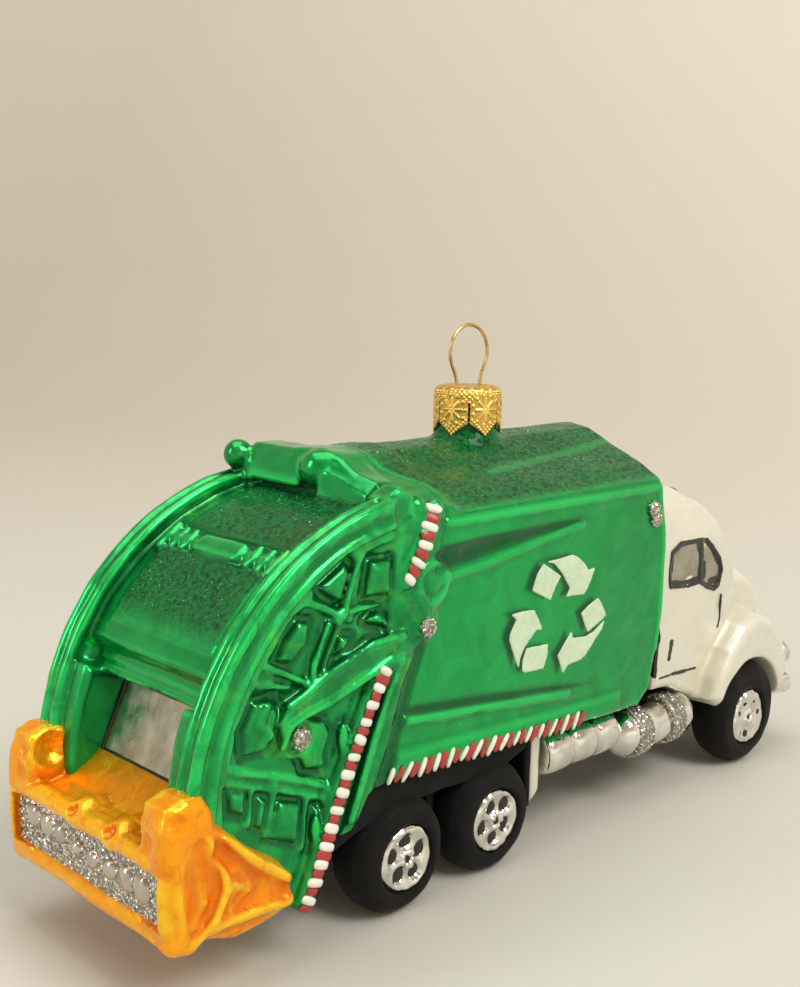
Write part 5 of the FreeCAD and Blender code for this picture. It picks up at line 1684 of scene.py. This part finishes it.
# The three folded arrows that stand for recycling, each a short band and a long one with its head.
ARROWS = [
    [(26.5, 43.7), (30.5, 41.3), (29.7, 40.2), (28.4, 38.0), (24.2, 40.1), (25.2, 42.4)],
    [
        (27.0, 43.9), (29.9, 43.9), (33.2, 44.0), (34.5, 43.5), (36.1, 42.3), (37.2, 41.1), (38.8, 41.3), (37.8, 39.5),
        (36.2, 37.6), (32.1, 37.9), (32.8, 39.1), (30.9, 41.5), (28.9, 43.3),
    ],
    [
        (39.7, 36.5), (40.4, 35.8), (42.0, 33.4), (41.5, 33.1), (39.6, 32.3), (37.6, 31.5), (36.7, 32.9), (35.7, 34.8),
        (37.6, 35.8),
    ],
    [
        (41.8, 32.8), (41.0, 31.3), (39.3, 29.9), (37.3, 28.1), (36.0, 27.6), (33.0, 27.4), (31.9, 26.3), (30.5, 29.4),
        (31.8, 30.8), (33.6, 32.5), (34.0, 31.4), (37.1, 31.0), (39.2, 31.4),
    ],
    [(28.3, 31.6), (28.1, 30.1), (27.3, 28.1), (23.2, 28.3), (22.6, 28.8), (22.7, 30.2), (23.5, 31.9)],
    [
        (21.9, 29.1), (20.7, 31.3), (19.6, 33.7), (19.7, 34.6), (21.0, 36.5), (19.9, 37.4), (22.0, 37.5), (24.7, 37.3),
        (25.6, 36.0), (26.9, 33.9), (25.5, 34.2), (23.0, 32.1), (22.1, 30.6),
    ],
]
SIGN_MIDDLE = 30.8
SHADE_BACK, SHADE_UP = 1.5, 0.45
SIDE_FACE = 14.0


def arrow_distance(x, y, z):
    """Distance in the side view to the nearest arrow; each side's sign reads the right way round."""
    along = np.where(y < 0, x, 2 * SIGN_MIDDLE - x)
    return np.min([edge_distance(along, z, one) for one in ARROWS], axis=0)


def shade_mask(place, outward):
    """The sign's printed shadow behind and above each arrow, and painted shade: bands along the side's grooves and
    creases, round the neck's foot under the cap, and toward the front of the side.
    """
    x, y, z = place.T
    side = np.abs(y) > SIDE_FACE
    out = np.zeros(len(x))
    near = (x > 15) & (x < 47) & (z > 24) & (z < 47) & side
    back = np.where(y[near] < 0, SHADE_BACK, -SHADE_BACK)
    gap = arrow_distance(x[near] + back, y[near], z[near] - SHADE_UP)
    out[near] = np.clip(0.5 - gap / 0.8, 0.0, 1.0)
    # Painted shade in bands along the side's grooves and creases.
    for line, depth in PAINTED_SHADE_LINES:
        for a, b in zip(line, line[1:]):
            du, dv = b[0] - a[0], b[1] - a[1]
            along = np.clip(((x - a[0]) * du + (z - a[1]) * dv) / (du**2 + dv**2), 0.0, 1.0)
            gap = np.hypot(x - a[0] - du * along, z - a[1] - dv * along)
            half = a[2] + (b[2] - a[2]) * along
            out = np.maximum(out, np.clip((half - gap) / 0.5, 0.0, depth) * side)
    # Painted shade round the foot of the neck, under the cap's skirt.
    foot = np.clip((6.9 - np.hypot(x - NECK_X, y)) / 1.6, 0.0, 0.8) * ramp(z, 57.0, 1.0)
    # Painted shade that grows toward the front of the side.
    painted_front_shade = 0.2 * ramp(x, 30.0, 16.0) * side
    return np.maximum(np.maximum(out, foot), painted_front_shade)


class ORNAMENT_OT_sign(bpy.types.Operator):
    """Paint the three folded arrows on each side of the body"""

    bl_idname = "ornament.sign"
    bl_label = "Recycling sign"

    def execute(self, context):
        def distance(x, y, z):
            return np.maximum(arrow_distance(x, y, z), 14.5 - np.abs(y))

        arrows = Solid(distance, (18.0, -18.5, 25.0), (43.5, 18.5, 45.5))
        cast_piece("recycling_sign", coat(FORMS["green"], arrows, 0.13), paint_step(), "sign")
        return {"FINISHED"}


def row_along(points, spacing):
    """Evenly spaced points along a bent line, with the line's direction at each."""
    points = np.array(points, float)
    lengths = np.concatenate([[0.0], np.cumsum(np.hypot(*np.diff(points, axis=0).T))])
    at = np.linspace(0.0, lengths[-1], int(round(lengths[-1] / spacing)) + 1)
    place, ahead, behind = (
        np.stack([np.interp(at + shift, lengths, points[:, axis]) for axis in (0, 1)], 1) for shift in (0.0, 0.3, -0.3)
    )
    return place, ahead - behind


# Rows of dabs in the side view: down the tail's front edge, down its column, and along the body's foot.
UPPER_ROW = [(3.9, 54.3), (2.4, 51.6), (1.5, 49.2), (0.2, 47.3), (-1.0, 45.9)]
LOWER_ROW = [
    (-4.9, 34.8), (-6.3, 32.3), (-7.6, 29.9), (-8.7, 27.6), (-9.9, 25.2), (-11.1, 22.8), (-12.1, 20.5),
    (-13.0, 18.2), (-14.0, 16.0), (-14.9, 13.7), (-15.9, 11.4), (-16.8, 9.2), (-17.8, 7.4),
]
FOOT_ROW = [(-3.2, 20.3), (6.0, 20.1), (16.0, 19.6), (28.0, 18.9), (36.2, 18.5)]


class ORNAMENT_OT_stripes(bpy.types.Operator):
    """Dab the white and red warning stripes along the tail and the body's lower edge"""

    bl_idname = "ornament.stripes"
    bl_label = "Warning stripes"

    def execute(self, context):
        rng = np.random.default_rng(sizes().seed)
        white, red = [], []
        for line, spacing in ((UPPER_ROW, 1.16), (LOWER_ROW, 1.14)):
            for number, (spot, way) in enumerate(zip(*row_along(line, spacing))):
                (red if number % 2 else white).append((*spot, way[1], -way[0], 1.0, 1.0))
        for number, spot in enumerate(row_along(FOOT_ROW, 1.38)[0]):
            if number % 2:
                red.append((*spot, 0.5, 0.86, 1.16, 0.98))
            else:
                white.append((*spot, 0.5, 0.86, 1.1, 0.66))
        for finish, rows, half in (("white", white, (1.3, 0.6, 0.32)), ("red", red, (1.12, 0.62, 0.2))):
            x, z, along_x, along_z, long, wide = np.array(rows).T
            count = len(rows)
            place, outward = find_side(FORMS["green"], x, z)
            along = np.stack([along_x, np.zeros(count), along_z], 1)
            wander = rng.uniform(-0.2, 0.2, (count, 3)) * np.array([1.0, 0.0, 0.6])
            along = along / np.linalg.norm(along, axis=1)[:, None] + wander
            stretch = np.stack([long, wide, np.ones(count)], 1) * rng.uniform(0.8, 1.14, (count, 3))
            set_dabs(f"stripes_{finish}", half, *both_sides(place, outward, along), np.tile(stretch, (2, 1)), finish)
        return {"FINISHED"}


# Each rear lamp's place across and up, and its share of the full size.
LAMPS = (
    (12.1, 15.8, 1.0), (8.9, 15.6, 1.0), (5.6, 15.5, 0.85), (1.6, 15.2, 0.6),
    (-1.9, 15.0, 0.8), (-5.6, 15.0, 0.85), (-9.0, 15.0, 1.1), (-12.1, 14.9, 1.15),
)


class ORNAMENT_OT_sparkle(bpy.types.Operator):
    """Strew silver flakes on the dots and the lamp panel, and green ones over the grit"""

    bl_idname = "ornament.sparkle"
    bl_label = "Glitter and lamps"

    def execute(self, context):
        step = paint_step()
        spots = [(TOP_DOT[0], TOP_DOT[2], 1.3), (LOW_DOT[0], LOW_DOT[2], 1.3), (53.0, 48.5, 1.2), (53.8, 46.7, 1.15)]
        x, z, radii = zip(*spots)
        domes = [egg(p + out * 0.1, (r, 0.7, r)) for p, out, r in zip(*find_side(FORMS["green"], x, z), radii)]
        bed = cast_piece("glitter_dots", mirrored(join(domes, 0.2)), step, "bed")
        strew("dot_glitter", bed, 9e6, "flakes")
        self.lamps(step)
        self.grit()
        return {"FINISHED"}

    def lamps(self, step):
        """The strewn lamp panel across the hopper, with a row of bright swollen lamps."""
        back = box_mm("rear_lamp_panel", ORIGIN)[0][0]
        panel = rippled(section(even([(-16.3, 11.3), (-16.3, 17.9)]), back + 0.45, back + 2.2, 0.4), 0.1)

        def facing(place, outward):
            return (place[:, 0] < back + 0.9).astype(float)

        bed = cast_piece("lamp_panel", panel, step * 1.5, "bed", ["rear_lamp_panel"], masks={"strew": facing})
        strew("panel_glitter", bed, 9e6, "flakes", 0.6)
        lamps = [egg((back + 0.6, y, z), (0.95, 1.45 * k, 1.6 * k)) for y, z, k in LAMPS]
        lamps.append(rod((back + 0.45, -11.0, 15.1), (back + 0.5, 11.0, 15.4), 0.3))
        face = Solid(lambda x, y, z: BACK_X + 0.06 - x, (back - 3, -20, 5), (back + 5, 20, 25))
        glass = within(rippled(join(lamps, 0.5), 0.08), face)
        cast_piece("rear_lamps_bright", glass, step * 1.2, "lamp", ["rear_lamps"])

    def grit(self):
        """Fine green flakes that catch the light on the roof and the tail."""
        for name, density in (("body", 1.8e6), ("tail", 3.2e6)):
            bed = bpy.data.objects[name + "_shell"]
            values = np.empty(len(bed.data.vertices), np.float32)
            bed.data.attributes["grit"].data.foreach_get("value", values)
            write_layer(bed.data, "strew", np.clip(values * 2.0 - 1.0, 0.0, 1.0))
            strew(name + "_grit", bed, density, "green_flakes", 0.8, 0.4)
            bed.data.attributes.remove(bed.data.attributes["strew"])


# The cap's petals, its wall, the wire's legs off the middle, the slant they leave the loop at, and the first slit.
PETALS = 6
CAP_WALL = 0.36
LEG_SPREAD = 2.5
LEG_SLANT = math.radians(27.0)
SLIT_TURN = math.radians(225.0)


class ORNAMENT_OT_crown(bpy.types.Operator):
    """Stamp the gold crown cap and bend its wire loop"""

    bl_idname = "ornament.crown"
    bl_label = "Cap and wire loop"

    def execute(self, context):
        top, tips = float(CAP[1][2]), float(CAP[0][2])
        outer = float(CAP[1][0] - CAP[0][0]) / 2
        outline = [
            (0.0, top - CAP_WALL), (outer - 1.25, top - CAP_WALL), (outer - 0.5, top - CAP_WALL - 0.25),
            (outer - 0.12, top - 1.3), (outer - 0.05, tips), (outer - CAP_WALL, tips),
            (outer - CAP_WALL - 0.15, top - 1.3), (outer - 1.4, top - CAP_WALL * 2), (0.0, top - CAP_WALL * 2),
        ]
        cup = turned(outline, 2, (NECK_X, 0.0), 0.06)
        sector = 2 * math.pi / PETALS

        def stamp(x, y, z):
            """Raised star and dots on each petal, and rays on top."""
            angle = np.arctan2(y, x - NECK_X) - SLIT_TURN
            local = (np.mod(angle, sector) - sector / 2) * outer
            up = z - (tips + (top - tips) * 0.52)
            far, turn = np.hypot(local, up), np.arctan2(up, local)
            arm = np.mod(turn + math.pi / 8, math.pi / 4) - math.pi / 8
            arms = np.exp(-((far * np.sin(arm)) ** 2) / 0.03) * (far > 0.35) * (far < 1.75)
            beads = np.clip(np.cos(turn * 11.0), 0, 1) * np.exp(-((far - 2.15) ** 2) / 0.05)
            heart = np.exp(-(far**2) / 0.06)
            dots = np.clip(np.cos(local * 8.6) * np.cos(up * 8.6) * 1.4, 0, 1) * (far > 2.45)
            rays = np.clip(np.sin(angle * 18.0), 0, 1) * (np.hypot(x - NECK_X, y) > 2.5) * 0.5
            return np.where(z > top - 0.8, rays, np.max([arms, beads, heart, dots], axis=0))

        def petal_cut(x, y, z):
            """Below 0 in the metal that is left between the slits and above the points."""
            angle = np.arctan2(y, x - NECK_X) - SLIT_TURN
            local = np.abs(np.mod(angle + sector / 2, sector) - sector / 2) * outer
            slit = np.minimum(0.14 + np.clip(tips + 2.0 - z, 0, 9) * 0.04 - local, (top - 2.6) - z)
            point = (z - tips) - 2.0 * (1.0 - local / (sector * outer / 2))
            return np.maximum(slit, -point * 0.7)

        def distance(x, y, z):
            return np.maximum(cup(x, y, z) - 0.2 * stamp(x, y, z) + 0.1, petal_cut(x, y, z))

        def stamp_mask(place, outward):
            return stamp(*place.T)

        legs = (NECK_X + LEG_SPREAD, NECK_X - LEG_SPREAD)
        holes = [rod((x, 0.0, top - 2.0), (x, 0.0, top + 1.0), 0.4) for x in legs]
        solid = carve(Solid(distance, cup.low - 0.15, cup.high + 0.15), holes, 0.05)
        cast_piece("crown_cap", solid, paint_step() * 0.72, "gold", ["cap"], "crown_cap", masks={"stamp": stamp_mask})
        self.loop()
        return {"FINISHED"}

    def loop(self):
        """Brass wire, a loop with two legs, standing along the truck."""
        wide = float(WIRE[1][0] - WIRE[0][0]) / 2
        thick = float(WIRE[1][1] - WIRE[0][1]) / 2
        high, foot = float(WIRE[1][2]), float(WIRE[0][2])
        ring = wide - thick
        centre = high - wide
        curve = bpy.data.curves.new("wire_loop", "CURVE")
        curve.dimensions = "3D"
        line = curve.splines.new("POLY")
        length = (ring * math.cos(LEG_SLANT) - LEG_SPREAD) / math.sin(LEG_SLANT)
        bend = centre - ring * math.sin(LEG_SLANT) - length * math.cos(LEG_SLANT) - 1.1
        side = [(LEG_SPREAD, foot), (LEG_SPREAD, bend)]
        side += [(LEG_SPREAD + 0.0045 * one * one, bend + 0.2 * one) for one in range(1, 12)]
        for angle in np.linspace(-LEG_SLANT, math.pi / 2, 61):
            side.append((ring * math.cos(angle), centre + ring * math.sin(angle)))
        line.points.add(len(side) * 2 - 2)
        for point, (x, z) in zip(line.points, side + [(-x, z) for x, z in side[-2::-1]]):
            wave = 0.01 * math.sin(2.1 * z)
            point.co = ((NECK_X + AXLE_X + x) / MM, wave / MM, z / MM, 1.0)
        curve.bevel_depth = (thick - 0.02) / MM
        curve.bevel_resolution = 4
        curve.use_fill_caps = True
        source = placed("wire_curve", curve)
        mesh = bpy.data.meshes.new_from_object(source.evaluated_get(bpy.context.evaluated_depsgraph_get()))
        mesh.shade_smooth()
        bpy.data.objects.remove(source)
        finish_piece(placed("wire_loop", mesh), "brass", ["hanger"], "wire")


# ---------------------------------------------------------------- stage, camera and light


def area_light(name, place, aim, size, power, tint):
    """A soft square lamp."""
    lamp = bpy.data.lights.new(name, "AREA")
    lamp.shape = "RECTANGLE"
    lamp.size, lamp.size_y = size
    lamp.energy = power
    lamp.color = tint
    thing = placed(name, lamp)
    thing.location = place
    thing.rotation_euler = (Vector(aim) - Vector(place)).to_track_quat("-Z", "Y").to_euler()


# Each lamp's name, place, aim, size, power and colour.
LAMPLIGHT = (
    ("key", (0.08, -0.78, 0.95), (0.0, 0.0, 0.03), (0.55, 0.55), 8.6, (1.0, 0.97, 0.92)),
    ("top", (-0.1, 0.1, 1.1), (0.0, 0.0, 0.0), (0.9, 0.9), 6.0, (1.0, 0.95, 0.88)),
    ("window", (-0.85, 0.35, 0.45), (0.0, 0.0, 0.04), (0.2, 0.5), 2.4, (0.86, 0.94, 1.0)),
)
ROOM_TINT, ROOM_STRENGTH = (1.0, 0.93, 0.85, 1.0), 0.42
FLOOR_REACH, WALL_BEND, WALL_TOP = 0.28, 1.1, 1.7
FLOOR_SIDES, BEND_STEPS = 72, 12
# The camera's lens and sensor in millimetres, its place, and the ways it looks and holds up.
LENS, SENSOR = 45.96, 36.0
CAMERA_PLACE = (-0.14035, -0.1259, 0.0836)
LOOKING, UPWARD = (0.6917, 0.7016, -0.1715), (0.1082, 0.1341, 0.985)


class ORNAMENT_OT_stage(bpy.types.Operator):
    """Set the pale floor and backdrop, the soft lamps and the camera"""

    bl_idname = "ornament.stage"
    bl_label = "Stage, light and camera"

    def execute(self, context):
        self.backdrop()
        for lamp in LAMPLIGHT:
            area_light(*lamp)
        world = bpy.data.worlds.new("room")
        world.use_nodes = True
        room = world.node_tree.nodes["Background"].inputs
        room["Color"].default_value, room["Strength"].default_value = ROOM_TINT, ROOM_STRENGTH
        context.scene.world = world
        context.scene.view_settings.view_transform = "Standard"
        self.camera(context)
        return {"FINISHED"}

    def paper(self):
        """Pale paper with painted light: warmer and brighter toward the right and up the wall."""
        n = Nodes("paper", Specular_IOR_Level=0.2)
        split = n.add("ShaderNodeSeparateXYZ", {0: n.place}).outputs
        # Painted light: brighter toward the right of the view and darker toward the left, on the far floor and the
        # wall.
        right = n.spread(n.math("SUBTRACT", split["X"], split["Y"]), -0.35, 0.55)
        near = n.blend(n.clouds((2.0, 2.0), 0.3, 0.7, 0.0, 0.25), (0.565, 0.56, 0.51), (0.54, 0.53, 0.48))
        far = n.blend(right, (0.48, 0.445, 0.375), (0.70, 0.66, 0.59))
        wall = n.blend(right, (0.68, 0.625, 0.55), (0.90, 0.85, 0.78))
        away = n.math("ADD", n.math("MULTIPLY", split["X"], 0.7), n.math("MULTIPLY", split["Y"], 0.7))
        floor = n.blend(n.spread(away, 0.08, 0.4), near, far)
        return n.finish(
            n.blend(n.spread(split["Z"], 0.02, 0.35), floor, wall),
            n.clouds((300.0, 2.0), 0.3, 0.7, 0.7, 0.85),
            n.bump(n.noise(900.0, 3.0), 0.05, 0.0004),
        )

    def backdrop(self):
        """A wide floor that curves up into a wall all round."""
        outline = [(FLOOR_REACH * 0.5, 0.0), (FLOOR_REACH, 0.0)]
        for one in range(1, BEND_STEPS + 1):
            angle = math.pi / 2 * one / BEND_STEPS
            outline.append((FLOOR_REACH + WALL_BEND * math.sin(angle), WALL_BEND * (1.0 - math.cos(angle))))
        outline.append((FLOOR_REACH + WALL_BEND, WALL_TOP))
        count = len(outline)
        place, faces = [], []
        for one in range(FLOOR_SIDES):
            angle = 2 * math.pi * one / FLOOR_SIDES
            place += [(r * math.cos(angle), r * math.sin(angle), z) for r, z in outline]
            here, after = one * count, (one + 1) % FLOOR_SIDES * count
            faces.append((FLOOR_SIDES * count, here, after))
            faces += [(here + up, after + up, after + up + 1, here + up + 1) for up in range(count - 1)]
        mesh = bpy.data.meshes.new("backdrop")
        mesh.from_pydata(place + [(0.0, 0.0, 0.0)], [], faces)
        shape = bmesh.new()
        shape.from_mesh(mesh)
        bmesh.ops.recalc_face_normals(shape, faces=shape.faces)
        shape.faces.ensure_lookup_table()
        if shape.faces[0].normal.z < 0:
            bmesh.ops.reverse_faces(shape, faces=shape.faces)
        shape.to_mesh(mesh)
        shape.free()
        mesh.shade_smooth()
        mesh.materials.append(self.paper())
        placed("backdrop", mesh)

    def camera(self, context):
        """Low behind the tail's right corner."""
        lens = bpy.data.cameras.new("camera")
        lens.lens = LENS
        lens.sensor_width = SENSOR
        lens.clip_start = 0.005
        camera = placed("camera", lens)
        forward = Vector(LOOKING).normalized()
        right = forward.cross(Vector(UPWARD)).normalized()
        turn = Matrix((right, right.cross(forward), -forward)).transposed().to_4x4()
        turn.translation = Vector(CAMERA_PLACE)
        camera.matrix_world = turn
        context.scene.camera = camera


class ORNAMENT_PT_panel(bpy.types.Panel):
    """Sizes, colours and the steps that build the ornament"""

    bl_idname = "ORNAMENT_PT_panel"
    bl_label = "Ornament"
    bl_space_type = "VIEW_3D"
    bl_region_type = "UI"
    bl_category = "Ornament"

    def draw(self, context):
        for group in (context.scene.ornament_sizes, context.scene.ornament_colours):
            column = self.layout.column(align=True)
            for key in group.bl_rna.properties.keys():
                if key not in ("rna_type", "name"):
                    column.prop(group, key)
        for operator in STEPS:
            self.layout.operator(operator.bl_idname)


STEPS = (
    ORNAMENT_OT_stage,
    ORNAMENT_OT_prepare,
    ORNAMENT_OT_body,
    ORNAMENT_OT_hopper,
    ORNAMENT_OT_cab,
    ORNAMENT_OT_wheels,
    ORNAMENT_OT_underbody,
    ORNAMENT_OT_windows,
    ORNAMENT_OT_sign,
    ORNAMENT_OT_stripes,
    ORNAMENT_OT_sparkle,
    ORNAMENT_OT_crown,
)
CLASSES = (OrnamentSizes, OrnamentColours, *STEPS, ORNAMENT_PT_panel)


def register():
    for one in CLASSES:
        bpy.utils.register_class(one)
    bpy.types.Scene.ornament_sizes = PointerProperty(type=OrnamentSizes)
    bpy.types.Scene.ornament_colours = PointerProperty(type=OrnamentColours)


def unregister():
    del bpy.types.Scene.ornament_colours
    del bpy.types.Scene.ornament_sizes
    for one in reversed(CLASSES):
        bpy.utils.unregister_class(one)


def main():
    register()
    for step in STEPS:
        group, name = step.bl_idname.split(".")
        getattr(getattr(bpy.ops, group), name)()


if __name__ == "__main__":
    main()
